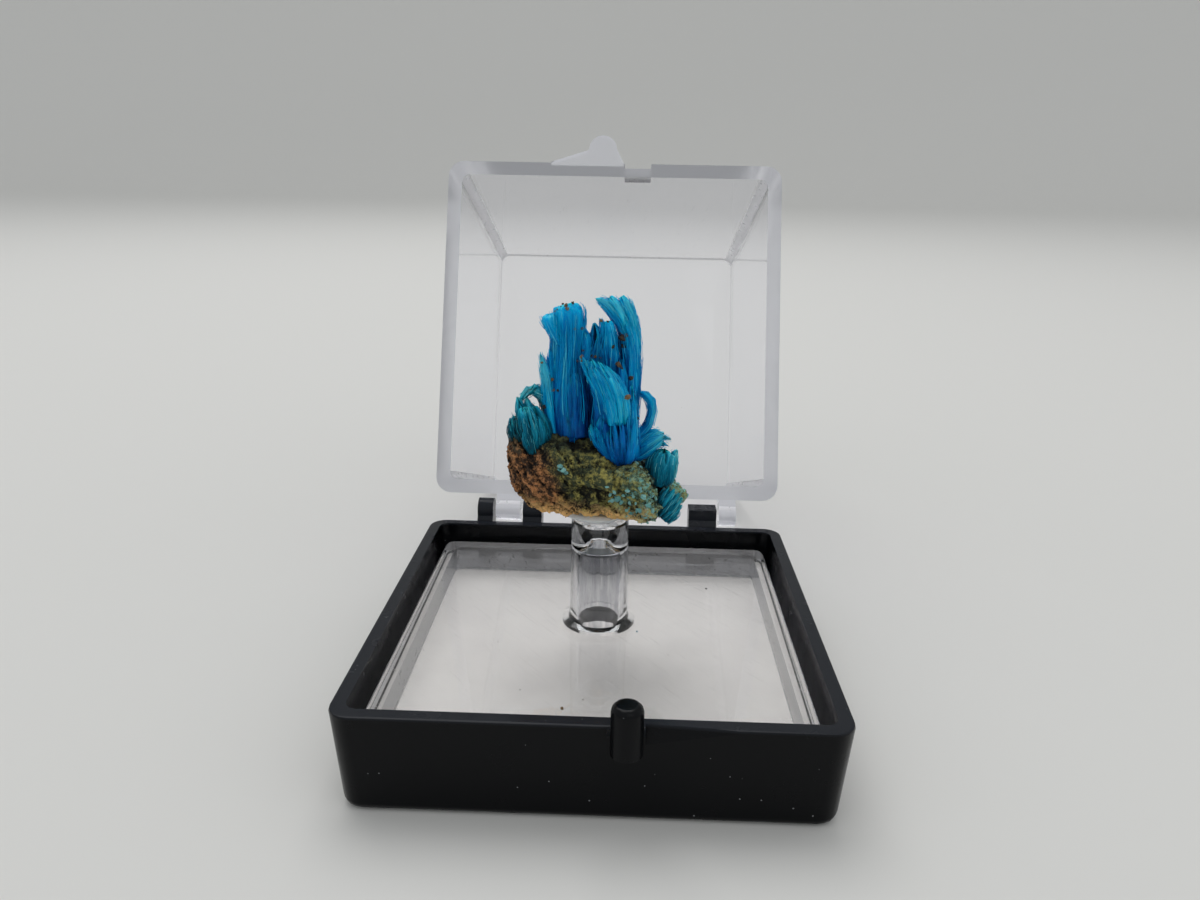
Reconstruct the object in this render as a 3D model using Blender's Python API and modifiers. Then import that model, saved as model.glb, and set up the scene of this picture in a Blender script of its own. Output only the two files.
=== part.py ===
# A thumbnail specimen of chalcanthite, glued on the clear post of a small hinged display box.
# All lengths are in metres. The origin is the middle of the box's underside, X runs to the right,
# Y to the back and Z up. The lid stands open, as in the photograph.
import math
import random

import bmesh
import bpy
from mathutils import Matrix, Vector, noise

MM = 0.001

# Box base: a black moulding
BOX = 38.0 * MM            # outer width and depth at the rim
BASE_H = 8.4 * MM          # from the underside to the rim
WALL = 1.2 * MM
BASE_DRAFT = 0.55 * MM     # how much narrower each side is at the underside
FLOOR = 2.1 * MM           # top of the base's floor
CORNER = 1.7 * MM          # radius of the upright corners
GAP = 0.3 * MM             # clearance between pieces that touch

# Liner card and clear insert with its post
CARD_TOP = 2.8 * MM
DECK_TOP = 6.8 * MM        # top face of the clear insert
DECK_T = 1.1 * MM
INSERT_HALF = 17.2 * MM
POST_R = 2.6 * MM
POST_TOP_R = 2.5 * MM
POST_TOP = 16.6 * MM
POST_BORE_R = 1.75 * MM
BORE_TOP = 15.1 * MM       # peak of the hollow inside the post
FOOT_R = 3.25 * MM

# Lid and its hinge
LID_WALL = 1.5 * MM
LID_H = 32.2 * MM          # height of the lid alone
LID_DRAFT = 0.8 * MM
HINGE_Y = 20.7 * MM
HINGE_Z = 9.1 * MM
HINGE_R = 1.25 * MM
OPEN_DEG = 111.4           # how far the lid stands open
PIN_X = 2.65 * MM          # the catch pin on the front wall
PIN_Y = -20.0 * MM
PIN_R = 1.17 * MM
PIN_FOOT = 7.0 * MM
PIN_TOP = 10.9 * MM
PIN_BODY = 1.42 * MM       # half the width of the lump that joins the pin to the wall
TAB_X = -1.4 * MM          # the thumb tab on the lid's free edge
TAB_R = 1.6 * MM
TAB_T = 1.0 * MM

# Hinge lugs on the base, left to right: two round ones and a wide square one
ROUND_LUGS = [(-14.1 * MM, -12.4 * MM), (-9.1 * MM, -7.0 * MM)]
WIDE_LUG = (9.2 * MM, 12.25 * MM)


def new_collection(name):
    col = bpy.data.collections.new(name)
    bpy.context.scene.collection.children.link(col)
    return col


def material(name, color, roughness, metallic=0.0, transmission=0.0):
    mat = bpy.data.materials.new(name)
    mat.use_nodes = True
    bsdf = mat.node_tree.nodes["Principled BSDF"]
    bsdf.inputs["Base Color"].default_value = (*color, 1.0)
    bsdf.inputs["Roughness"].default_value = roughness
    bsdf.inputs["Metallic"].default_value = metallic
    bsdf.inputs["Transmission Weight"].default_value = transmission
    mat.diffuse_color = (*color, 1.0)
    return mat


def make_object(name, bm, col, mat=None, origin=(0.0, 0.0, 0.0)):
    """Turn a bmesh in world coordinates into an object whose origin is the given point."""
    bmesh.ops.recalc_face_normals(bm, faces=bm.faces)
    bmesh.ops.translate(bm, verts=bm.verts, vec=-Vector(origin))
    mesh = bpy.data.meshes.new(name)
    bm.to_mesh(mesh)
    bm.free()
    obj = bpy.data.objects.new(name, mesh)
    obj.location = origin
    col.objects.link(obj)
    if mat:
        mesh.materials.append(mat)
    return obj


def block(x0, x1, y0, y1, z0, z1):
    """A box between the given limits, as a bmesh."""
    bm = bmesh.new()
    bmesh.ops.create_cube(bm, size=1.0)
    bmesh.ops.scale(bm, verts=bm.verts, vec=(x1 - x0, y1 - y0, z1 - z0))
    bmesh.ops.translate(bm, verts=bm.verts, vec=((x0 + x1) / 2, (y0 + y1) / 2, (z0 + z1) / 2))
    return bm


def round_edges(bm, test, radius, segments):
    """Bevel every edge whose two ends pass the test."""
    edges = [e for e in bm.edges if test(e.verts[0].co, e.verts[1].co)]
    bmesh.ops.bevel(bm, geom=edges, offset=radius, segments=segments, profile=0.5, affect="EDGES")


def upright(a, b):
    return abs(a.z - b.z) > max(abs(a.x - b.x), abs(a.y - b.y)) * 2


def tub(half_bottom, half_top, z0, z1, corner, segments=4):
    """A square block whose sides lean, with rounded upright corners."""
    bm = block(-half_top, half_top, -half_top, half_top, z0, z1)
    for v in bm.verts:
        if v.co.z < (z0 + z1) / 2:
            v.co.x *= half_bottom / half_top
            v.co.y *= half_bottom / half_top
    round_edges(bm, upright, corner, segments)
    return bm


def level(z, tol=0.01 * MM):
    return lambda a, b: abs(a.z - z) < tol and abs(b.z - z) < tol


def cylinder(radius, length, segments, axis, centre):
    bm = bmesh.new()
    bmesh.ops.create_cone(bm, cap_ends=True, segments=segments, radius1=radius, radius2=radius, depth=length)
    if axis == "X":
        quarter = Matrix.Rotation(math.pi / 2, 3, "Y")
        bmesh.ops.rotate(bm, verts=bm.verts, cent=(0, 0, 0), matrix=quarter)
    bmesh.ops.translate(bm, verts=bm.verts, vec=centre)
    return bm


def prism(outline, axis, lo, hi):
    """An outline of (a, b) points pushed along X (as Y, Z) or Z (as X, Y)."""
    bm = bmesh.new()
    if axis == "X":
        verts = [bm.verts.new((lo, a, b)) for a, b in outline]
        push = (hi - lo, 0, 0)
    else:
        verts = [bm.verts.new((a, b, lo)) for a, b in outline]
        push = (0, 0, hi - lo)
    face = bm.faces.new(verts)
    out = bmesh.ops.extrude_face_region(bm, geom=[face])
    moved = [g for g in out["geom"] if isinstance(g, bmesh.types.BMVert)]
    bmesh.ops.translate(bm, verts=moved, vec=push)
    bmesh.ops.recalc_face_normals(bm, faces=bm.faces)
    return bm


def turned(name, segments, profile):
    """A cutter or lump turned from (radius, z) points that start and end on the axis."""
    bm = bmesh.new()
    verts = [bm.verts.new((r, 0, z)) for r, z in profile]
    for a, b in zip(verts, verts[1:]):
        bm.edges.new((a, b))
    mesh = bpy.data.meshes.new(name)
    bm.to_mesh(mesh)
    bm.free()
    obj = bpy.data.objects.new(name, mesh)
    obj.hide_render = True
    obj.display_type = "WIRE"
    cutters.objects.link(obj)
    screw = obj.modifiers.new("turn", "SCREW")
    screw.angle = 2 * math.pi
    screw.steps = segments
    screw.render_steps = segments
    screw.use_merge_vertices = True
    screw.merge_threshold = 0.00001
    return obj


def tool(name, bm):
    """A cutter or an added lump: hidden, drawn as a wire and left out of the part."""
    obj = make_object(name, bm, cutters)
    obj.hide_render = True
    obj.display_type = "WIRE"
    return obj


def join(obj, other, how="UNION"):
    mod = obj.modifiers.new(how.lower() + "_" + other.name, "BOOLEAN")
    mod.operation = how
    mod.solver = "EXACT"
    mod.object = other
    return mod


def slice_off(bm, point, normal):
    """Cut a solid flat along a plane, drop what lies beyond it and close the cut."""
    out = bmesh.ops.bisect_plane(bm, geom=bm.verts[:] + bm.edges[:] + bm.faces[:], plane_co=point,
                                 plane_no=normal, clear_outer=True)
    rim = [g for g in out["geom_cut"] if isinstance(g, bmesh.types.BMEdge)]
    bmesh.ops.holes_fill(bm, edges=rim, sides=0)


def smooth(obj, angle=35):
    obj.data.shade_smooth()
    obj.data.set_sharp_from_angle(angle=math.radians(angle))


# Start from an empty scene
for old in list(bpy.data.objects):
    bpy.data.objects.remove(old, do_unlink=True)
parts = new_collection("chalcanthite_thumbnail")
cutters = new_collection("cutters")

black = material("black_plastic", (0.012, 0.013, 0.016), 0.22)
card_white = material("white_card", (0.62, 0.60, 0.57), 0.7)
clear = material("clear_plastic", (0.93, 0.94, 0.95), 0.05, 0.0, 0.9)
tack = material("mounting_glue", (0.80, 0.79, 0.76), 0.35, 0.0, 0.4)
rock_brown = material("matrix_rock", (0.16, 0.11, 0.045), 0.9)
blue = material("chalcanthite_blue", (0.01, 0.26, 0.55), 0.45)


# Base tray with the hinge lugs and the catch pin, one moulding
half = BOX / 2
bm = tub(half - BASE_DRAFT, half, 0.0, BASE_H, CORNER, 5)
round_edges(bm, level(0.0), 0.8 * MM, 3)
round_edges(bm, level(BASE_H), 0.22 * MM, 2)
base = make_object("base_tray", bm, parts, black)

hollow_half = half - WALL
bm = tub(hollow_half - 0.3 * MM, hollow_half + 0.2 * MM, FLOOR, BASE_H + 3 * MM, 0.9 * MM, 3)
join(base, tool("base_hollow", bm), "DIFFERENCE")

# The catch pin stands in front of the front wall, on a wider lump
bm = block(PIN_X - PIN_BODY, PIN_X + PIN_BODY, PIN_Y + 0.1 * MM, -half + 0.6 * MM,
           PIN_FOOT + 0.1 * MM, BASE_H - 0.1 * MM)
join(base, tool("pin_body", bm))
bm = cylinder(PIN_R, PIN_TOP - PIN_FOOT, 24, "Z", (PIN_X, PIN_Y, (PIN_TOP + PIN_FOOT) / 2))
round_edges(bm, level(PIN_TOP), 0.55 * MM, 3)
join(base, tool("catch_pin", bm))

# A shallow relief falls away from the rim to the right of the pin
RELIEF = [(3.9, -18.95, 6.8), (11.9, -19.0, 8.42), (3.9, -18.42, 8.5)]   # three points of its face (mm)
p0, p1, p2 = [Vector(p) * MM for p in RELIEF]
bm = block(3.95 * MM, 12.5 * MM, -21 * MM, -17 * MM, 6 * MM, 10 * MM)
inward = (p1 - p0).cross(p2 - p0).normalized()
if inward.y < 0:
    inward.negate()
slice_off(bm, p0, inward)
join(base, tool("thumb_relief", bm), "DIFFERENCE")

# Hinge lugs behind the back wall
LUG_FOOT = [(half - 0.5 * MM, 4.2 * MM), (half - 0.5 * MM, 7.4 * MM)]   # where they leave the wall (Y, Z)
for i, (x0, x1) in enumerate(ROUND_LUGS):
    bm = cylinder(HINGE_R, x1 - x0, 24, "X", ((x0 + x1) / 2, HINGE_Y, HINGE_Z))
    join(base, tool(f"lug_eye_{i}", bm))
    web = LUG_FOOT + [(HINGE_Y - 0.9 * MM, HINGE_Z), (HINGE_Y + HINGE_R - 0.02 * MM, HINGE_Z),
                      (HINGE_Y + HINGE_R - 0.5 * MM, 7.2 * MM)]
    join(base, tool(f"lug_web_{i}", prism(web, "X", x0, x1)))
wide = LUG_FOOT + [(HINGE_Y - 1.05 * MM, HINGE_Z - 0.3 * MM), (HINGE_Y - 1.05 * MM, HINGE_Z + 0.9 * MM),
                   (HINGE_Y + 0.85 * MM, HINGE_Z + 0.9 * MM), (HINGE_Y + 1.15 * MM, HINGE_Z),
                   (HINGE_Y + 0.7 * MM, 7.2 * MM)]
join(base, tool("lug_wide", prism(wide, "X", *WIDE_LUG)))
smooth(base)


# White card that lines the floor
bm = tub(16.9 * MM, 16.9 * MM, FLOOR + GAP, CARD_TOP, 0.6 * MM, 2)
card = make_object("liner_card", bm, parts, card_white)


# Clear insert: a deck with turned-down sides, moulded with a hollow post that opens underneath
bm = tub(INSERT_HALF - 0.25 * MM, INSERT_HALF, CARD_TOP + GAP, DECK_TOP, 1.0 * MM, 3)
round_edges(bm, level(DECK_TOP), 0.7 * MM, 3)
insert = make_object("clear_insert", bm, parts, clear)
under = INSERT_HALF - 1.25 * MM
bm = tub(under, under, CARD_TOP - 1 * MM, DECK_TOP - DECK_T, 0.6 * MM, 2)
join(insert, tool("insert_under", bm), "DIFFERENCE")
join(insert, turned("post_body", 32, [
    (0.0, POST_TOP),
    (POST_TOP_R - 0.15 * MM, POST_TOP),
    (POST_TOP_R, POST_TOP - 0.15 * MM),
    (POST_R, DECK_TOP + 0.9 * MM),
    (POST_R + 0.12 * MM, DECK_TOP + 0.5 * MM),
    (FOOT_R, DECK_TOP + 0.32 * MM),
    (FOOT_R, DECK_TOP - 0.4 * MM),
    (0.0, DECK_TOP - 0.4 * MM),
]))
join(insert, turned("post_bore", 24, [
    (0.0, BORE_TOP),
    (0.45 * MM, BORE_TOP - 0.15 * MM),
    (0.85 * MM, BORE_TOP - 0.8 * MM),
    (POST_BORE_R - 0.1 * MM, BORE_TOP - 1.2 * MM),
    (POST_BORE_R, BORE_TOP - 1.5 * MM),
    (POST_BORE_R + 0.1 * MM, DECK_TOP - 2.8 * MM),
    (0.0, DECK_TOP - 2.8 * MM),
]), "DIFFERENCE")
smooth(insert)


# Clear lid, modelled closed about the hinge axis and then turned open
bm = tub(half, half - LID_DRAFT, BASE_H + GAP, BASE_H + GAP + LID_H, CORNER, 5)
round_edges(bm, level(BASE_H + GAP + LID_H), 0.7 * MM, 3)
lid = make_object("lid", bm, parts, clear, (0.0, HINGE_Y, HINGE_Z))


def lid_tool(name, bm, how="UNION"):
    """A lid tool moves with the lid, so it is placed about the hinge axis and follows it."""
    obj = make_object(name, bm, cutters, None, (0.0, HINGE_Y, HINGE_Z))
    obj.hide_render = True
    obj.display_type = "WIRE"
    join(lid, obj, how)
    lid_tools.append(obj)


lid_tools = []
lid_bottom = BASE_H + GAP
bm = tub(half - LID_WALL, half - LID_DRAFT - LID_WALL + 0.15 * MM, lid_bottom - 2 * MM,
         lid_bottom + LID_H - LID_WALL + 0.2 * MM, 0.9 * MM, 3)
lid_tool("lid_hollow", bm, "DIFFERENCE")

# Thumb tab: a round tongue with sloping shoulders on the free edge
tab = [(-7.3 * MM, -half + 0.5 * MM), (-7.3 * MM, -half - 0.1 * MM)]
tab.append((TAB_X - TAB_R - 0.15 * MM, -half - 1.5 * MM))
for k in range(9):
    a = math.pi - math.pi * k / 8
    tab.append((TAB_X + TAB_R * math.cos(a), -half - 1.7 * MM - TAB_R * math.sin(a)))
tab += [(1.0 * MM, -half - 0.1 * MM), (1.0 * MM, -half + 0.5 * MM)]
lid_tool("thumb_tab", prism(tab, "Z", lid_bottom, lid_bottom + TAB_T))

# The free edge is notched where it passes the catch pin
notch = PIN_R + 0.33 * MM
bm = block(PIN_X - notch, PIN_X + notch, -half - 1 * MM, -half + 0.55 * MM,
           lid_bottom - 1 * MM, PIN_TOP + 0.5 * MM)
lid_tool("pin_notch", bm, "DIFFERENCE")

# Clear knuckles: one between the two round lugs, one beside the wide lug
KNUCKLES = [(ROUND_LUGS[0][1] + GAP, ROUND_LUGS[1][0] - GAP), (WIDE_LUG[1] + GAP, 14.4 * MM)]
for i, (x0, x1) in enumerate(KNUCKLES):
    bm = cylinder(HINGE_R - 0.1 * MM, x1 - x0, 24, "X", ((x0 + x1) / 2, HINGE_Y, HINGE_Z))
    lid_tool(f"knuckle_{i}", bm)
    web = [(half - 0.4 * MM, lid_bottom + 0.1 * MM), (HINGE_Y - 0.6 * MM, HINGE_Z - 0.7 * MM),
           (HINGE_Y + 0.4 * MM, HINGE_Z + 0.9 * MM), (half - 0.4 * MM, HINGE_Z + 2.2 * MM)]
    lid_tool(f"knuckle_web_{i}", prism(web, "X", x0, x1))
for obj in [lid] + lid_tools:
    obj.rotation_euler.x = math.radians(-OPEN_DEG)
smooth(lid)


# Matrix rock: a loft over stations along X, roughened, with a few flat broken faces
STATIONS = [  # x, front y, back y, underside z, top z at the front, top z at the back (mm)
    (-7.7, -1.0, 2.4, 20.4, 24.6, 25.3), (-7.1, -2.3, 3.4, 19.1, 24.9, 25.9),
    (-6.0, -3.1, 4.0, 18.1, 24.7, 25.8), (-4.8, -3.5, 4.4, 17.85, 24.6, 25.5),
    (-3.3, -3.7, 4.7, 17.9, 24.4, 25.3), (-1.6, -4.1, 4.9, 17.8, 24.0, 25.0),
    (0.2, -4.5, 4.9, 17.8, 22.9, 24.6), (2.0, -4.6, 4.8, 17.6, 22.3, 23.8),
    (3.5, -4.4, 4.5, 17.5, 21.9, 23.0), (4.7, -3.9, 4.0, 17.4, 20.8, 21.8),
    (5.7, -2.9, 3.2, 17.6, 19.9, 20.4), (6.4, -1.7, 2.0, 18.1, 19.2, 19.5),
]
RING = 26


def rock_mesh(grow):
    """The matrix's skin, moved outward by grow."""
    bm = bmesh.new()
    rings = []
    for x, yf, yb, zb, ztf, ztb in STATIONS:
        ring = []
        cy = (yf + yb) / 2
        hy = (yb - yf) / 2
        for k in range(RING):
            a = 2 * math.pi * k / RING
            c = math.copysign(abs(math.cos(a)) ** 0.62, math.cos(a))
            s = math.copysign(abs(math.sin(a)) ** 0.62, math.sin(a))
            ztop = ztf + (ztb - ztf) * (c + 1) / 2
            z = (zb + ztop) / 2 + (ztop - zb) / 2 * s
            ring.append(bm.verts.new((x * MM, (cy + hy * c) * MM, z * MM)))
        rings.append(ring)
    for r0, r1 in zip(rings, rings[1:]):
        for k in range(RING):
            bm.faces.new((r0[k], r0[(k + 1) % RING], r1[(k + 1) % RING], r1[k]))
    for ring in (rings[0], rings[-1]):
        mid = sum((v.co for v in ring), Vector()) / RING
        hub = bm.verts.new(mid + Vector((0.35 * MM if ring is rings[-1] else -0.3 * MM, 0, 0)))
        for k in range(RING):
            bm.faces.new((ring[k], ring[(k + 1) % RING], hub))
    bmesh.ops.recalc_face_normals(bm, faces=bm.faces)
    bmesh.ops.subdivide_edges(bm, edges=[e for e in bm.edges if e.calc_length() > 1.25 * MM], cuts=1)
    bmesh.ops.triangulate(bm, faces=bm.faces)
    bm.normal_update()
    for v in bm.verts:
        p = v.co / MM
        low = noise.noise(p * 0.42 + Vector((3.1, 0.4, 7.7)))
        mid = noise.noise(p * 0.95 + Vector((11.0, 5.2, 1.3)))
        step = math.floor((p.x * 0.55 + p.z * 0.8 + 1.5 * low) * 0.8) % 2
        fade = min(1.0, max(0.25, (p.z - 17.6) / 1.2))
        v.co += v.normal * (0.62 * low + 0.42 * mid + 0.16 * step) * MM * fade
    bm.normal_update()
    if grow:
        for v, n in [(v, v.normal.copy()) for v in bm.verts]:
            v.co += n * grow
    return bm


def broken(bm, point, normal, grow):
    """Break the rock off flat through a point given in mm."""
    n = Vector(normal).normalized()
    slice_off(bm, Vector(point) * MM + n * grow, n)


def rock(grow):
    bm = rock_mesh(grow)
    broken(bm, (-7.1, -1.0, 19.0), (-0.80, -0.25, -0.50), grow)
    broken(bm, (-7.75, -1.0, 22.0), (-0.97, -0.18, 0.05), grow)
    broken(bm, (-5.2, -3.2, 20.3), (-0.35, -0.86, -0.30), grow)
    broken(bm, (0.0, 0.0, 17.95), (0.02, 0.05, -1.0), grow)
    broken(bm, (5.6, 0.5, 21.0), (0.62, 0.2, 0.76), grow)
    broken(bm, (0.0, 4.6, 20.0), (0.1, 0.97, -0.22), grow)
    bmesh.ops.triangulate(bm, faces=bm.faces)
    return bm


matrix = make_object("matrix", rock(0.0), parts, rock_brown)
rock_tool = tool("matrix_clearance", rock(GAP))


# Glue pad between the post and the rock, with a lip over the left side
bm = bmesh.new()
bmesh.ops.create_uvsphere(bm, u_segments=24, v_segments=10, radius=1.0)
for v in bm.verts:
    a = math.atan2(v.co.y, v.co.x)
    v.co.x *= (3.0 + 0.35 * math.cos(a - math.pi)) * MM
    v.co.y *= (2.75 + 0.15 * math.sin(3 * a)) * MM
    v.co.z = max(-0.62, min(0.75, v.co.z)) * 0.75 * MM
    v.co += Vector((-0.2 * MM, 0.0, POST_TOP + GAP + 0.47 * MM))
glue = make_object("glue_pad", bm, parts, tack)
join(glue, rock_tool, "DIFFERENCE")
smooth(glue, 50)


# Chalcanthite: curved fibrous bundles. Each one is lofted along a line, with grooves down its
# length and a splintered tip, and the ones that grow into each other are joined in one solid.
def spline(points, t):
    """A smooth curve through the points, t from 0 to 1."""
    n = len(points) - 1
    s = min(t * n, n - 1e-6)
    i = int(s)
    u = s - i
    p = [Vector(points[max(0, min(n, i + k))]) for k in (-1, 0, 1, 2)]
    return 0.5 * (2 * p[1] + (p[2] - p[0]) * u + (2 * p[0] - 5 * p[1] + 4 * p[2] - p[3]) * u * u
                  + (3 * p[1] - p[0] - 3 * p[2] + p[3]) * u ** 3)


def bundle(path, seed, rings=8, sides=20, groove=0.13, splinter=0.9):
    """path rows are (x, y, z, half width, half depth) in mm, from the root to the tip."""
    rng = random.Random(seed)
    groove_of = [1.0 - (groove * rng.uniform(0.6, 1.5) if k % 2 else 0.0) for k in range(sides)]
    bm = bmesh.new()
    rows = []
    for j in range(rings + 1):
        t = j / rings
        pos = spline([r[:3] for r in path], t)
        size = spline([(r[3], r[4], 0) for r in path], t)
        ahead = spline([r[:3] for r in path], min(1.0, t + 0.02))
        back = spline([r[:3] for r in path], max(0.0, t - 0.02))
        along = (ahead - back).normalized()
        side = Vector((1, 0, 0))
        side = (side - along * side.dot(along)).normalized()
        deep = along.cross(side)
        row = []
        for k in range(sides):
            a = 2 * math.pi * k / sides
            g = groove_of[k]
            p = pos + side * (math.cos(a) * size.x * g) + deep * (math.sin(a) * size.y * g)
            if j == rings:
                low, high = (-splinter, 0.1) if k % 2 else (-0.25 * splinter, 0.25)
                p += along * rng.uniform(low, high)
            row.append(bm.verts.new(p * MM))
        rows.append(row)
    for r0, r1 in zip(rows, rows[1:]):
        for k in range(sides):
            bm.faces.new((r0[k], r0[(k + 1) % sides], r1[(k + 1) % sides], r1[k]))
    for row, push in ((rows[0], 0.0), (rows[-1], -0.2 * splinter)):
        mid = sum((v.co for v in row), Vector()) / sides
        direction = (rows[-1][0].co - rows[-2][0].co).normalized()
        hub = bm.verts.new(mid + direction * push * MM)
        for k in range(sides):
            bm.faces.new((row[k], row[(k + 1) % sides], hub))
    bmesh.ops.triangulate(bm, faces=bm.faces)
    return bm


def cluster(name, bundles):
    """Join bundles in one solid and cut their roots clear of the rock."""
    first = make_object(name, bundles[0], parts, blue)
    for i, bm in enumerate(bundles[1:]):
        join(first, tool(f"{name}_bundle_{i}", bm))
    join(first, rock_tool, "DIFFERENCE")
    smooth(first, 30)


MAIN = [
    # tall column on the left, with a blunt cap that leans out to the left
    bundle([(-2.6, -0.2, 23.2, 1.85, 1.7), (-2.65, -0.3, 26.5, 1.85, 1.8), (-2.7, 0.0, 30.0, 1.7, 1.7),
            (-2.9, 0.3, 32.6, 1.6, 1.5), (-3.05, 0.4, 34.4, 1.55, 1.35), (-3.1, 0.5, 35.0, 1.1, 1.0)],
           1, 10, 20, 0.12, 0.4),
    bundle([(-3.4, 0.1, 29.0, 0.9, 1.2), (-3.7, 0.2, 31.8, 0.95, 1.15), (-4.2, 0.3, 33.6, 0.95, 1.0),
            (-4.5, 0.3, 34.3, 0.7, 0.8)], 2, 6, 16, 0.1, 0.3),
    # column behind it that fills the middle
    bundle([(-0.3, 1.3, 23.0, 1.7, 1.9), (-0.5, 1.4, 27.0, 1.6, 1.8), (-0.7, 1.3, 30.5, 1.3, 1.4),
            (-1.0, 1.2, 33.2, 0.7, 0.8)], 3, 8, 20, 0.12, 0.9),
    # tall curved blade on the right, its tip fanned out to the left
    bundle([(2.2, 0.8, 22.4, 1.1, 1.7), (2.4, 0.9, 26.5, 0.95, 1.7), (2.35, 1.0, 30.2, 0.85, 1.6),
            (2.1, 1.0, 32.6, 0.95, 1.4), (1.25, 1.0, 34.4, 1.2, 1.1), (0.3, 1.0, 35.6, 1.2, 0.7)],
           4, 11, 18, 0.14, 0.8),
    # small blade in the gap between them
    bundle([(0.9, 0.4, 27.5, 1.0, 1.2), (0.8, 0.2, 30.4, 0.9, 1.1), (0.45, 0.0, 32.6, 0.85, 0.9),
            (0.1, 0.0, 34.1, 0.6, 0.6)], 5, 7, 16, 0.14, 0.7),
    # thin blades standing along the left edge
    bundle([(-3.6, -1.2, 24.0, 0.62, 0.9), (-3.95, -1.1, 27.2, 0.6, 0.8), (-4.4, -1.0, 29.6, 0.55, 0.6),
            (-4.75, -1.0, 31.6, 0.22, 0.3)], 6, 7, 12, 0.14, 0.6),
    bundle([(-3.8, -0.4, 25.0, 0.7, 0.9), (-4.0, -0.4, 29.0, 0.6, 0.8), (-4.15, -0.3, 31.9, 0.3, 0.4)],
           7, 6, 12, 0.14, 0.6),
    # lighter blade in front that curves down to the right and ends bluntly
    bundle([(0.5, -1.2, 24.8, 1.2, 1.1), (0.8, -2.0, 26.6, 1.3, 1.1), (0.4, -2.4, 28.6, 1.25, 1.0),
            (-0.2, -2.4, 30.0, 1.15, 0.9), (-0.9, -2.2, 31.2, 0.95, 0.7)], 8, 9, 20, 0.12, 0.5),
    bundle([(0.6, -2.0, 28.4, 0.9, 0.9), (1.15, -2.9, 27.2, 1.0, 0.8), (1.5, -3.2, 25.7, 0.95, 0.7)],
           9, 6, 16, 0.1, 0.3),
    # broad front bundle that runs down into the rock
    bundle([(0.9, -2.3, 21.8, 1.9, 1.5), (0.95, -2.5, 23.8, 2.0, 1.4), (1.0, -2.2, 25.6, 1.95, 1.4),
            (1.1, -1.6, 27.4, 1.5, 1.2)], 10, 7, 20, 0.12, 0.7),
    bundle([(2.2, -0.8, 21.6, 1.5, 1.6), (2.2, -0.8, 24.4, 1.3, 1.5), (2.1, -0.4, 27.0, 0.9, 1.3)],
           11, 6, 18, 0.12, 0.6),
    # curl at the right, and strands that fan out below it
    bundle([(2.9, -0.2, 24.6, 0.5, 0.6), (3.6, -0.2, 25.0, 0.42, 0.55), (4.2, -0.2, 25.9, 0.38, 0.5),
            (4.15, -0.1, 27.0, 0.36, 0.45), (3.55, 0.0, 27.55, 0.33, 0.4), (2.7, 0.3, 27.4, 0.25, 0.3)],
           12, 11, 10, 0.1, 0.02),
    bundle([(2.4, -0.9, 22.4, 0.8, 0.8), (3.4, -0.9, 23.2, 0.65, 0.7), (4.4, -0.8, 24.0, 0.5, 0.6),
            (5.2, -0.7, 24.4, 0.25, 0.4)], 13, 6, 14, 0.14, 0.6),
    bundle([(2.6, -0.5, 22.0, 0.7, 0.8), (3.8, -0.5, 22.7, 0.5, 0.6), (5.0, -0.5, 23.5, 0.35, 0.45),
            (5.6, -0.5, 23.7, 0.18, 0.25)], 14, 6, 12, 0.14, 0.6),
]
cluster("crystals_main", MAIN)

LEFT = [
    bundle([(-5.4, -1.9, 23.4, 0.85, 1.1), (-5.65, -2.0, 25.2, 0.95, 1.1), (-5.95, -1.9, 26.8, 0.85, 0.8),
            (-6.2, -1.6, 27.7, 0.5, 0.5)], 21, 7, 18, 0.14, 0.6),
    bundle([(-6.6, -0.9, 24.2, 0.7, 1.0), (-6.9, -0.9, 25.6, 0.7, 0.9), (-7.3, -0.8, 26.4, 0.4, 0.6)],
           22, 5, 14, 0.14, 0.5),
    bundle([(-5.45, -0.9, 25.4, 0.45, 0.6), (-5.55, -0.8, 27.2, 0.45, 0.55),
            (-6.0, -0.7, 28.3, 0.42, 0.5), (-6.7, -0.7, 28.2, 0.25, 0.3)], 23, 7, 10, 0.12, 0.3),
]
cluster("crystals_left", LEFT)

cluster("crystals_right", [
    bundle([(4.4, -1.9, 20.0, 1.0, 1.0), (4.9, -1.8, 21.5, 1.1, 1.0), (5.5, -1.6, 22.9, 0.95, 0.8)],
           31, 5, 16, 0.1, 0.35),
])
cluster("crystals_corner", [
    bundle([(5.3, -2.7, 18.0, 0.75, 0.9), (5.8, -2.6, 19.2, 0.95, 1.0), (6.2, -2.3, 20.5, 0.7, 0.9)],
           32, 5, 14, 0.14, 0.4),
])
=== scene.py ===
import math
import random

import bmesh
import bpy
from mathutils import Euler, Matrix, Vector, noise
from mathutils.bvhtree import BVHTree


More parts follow.
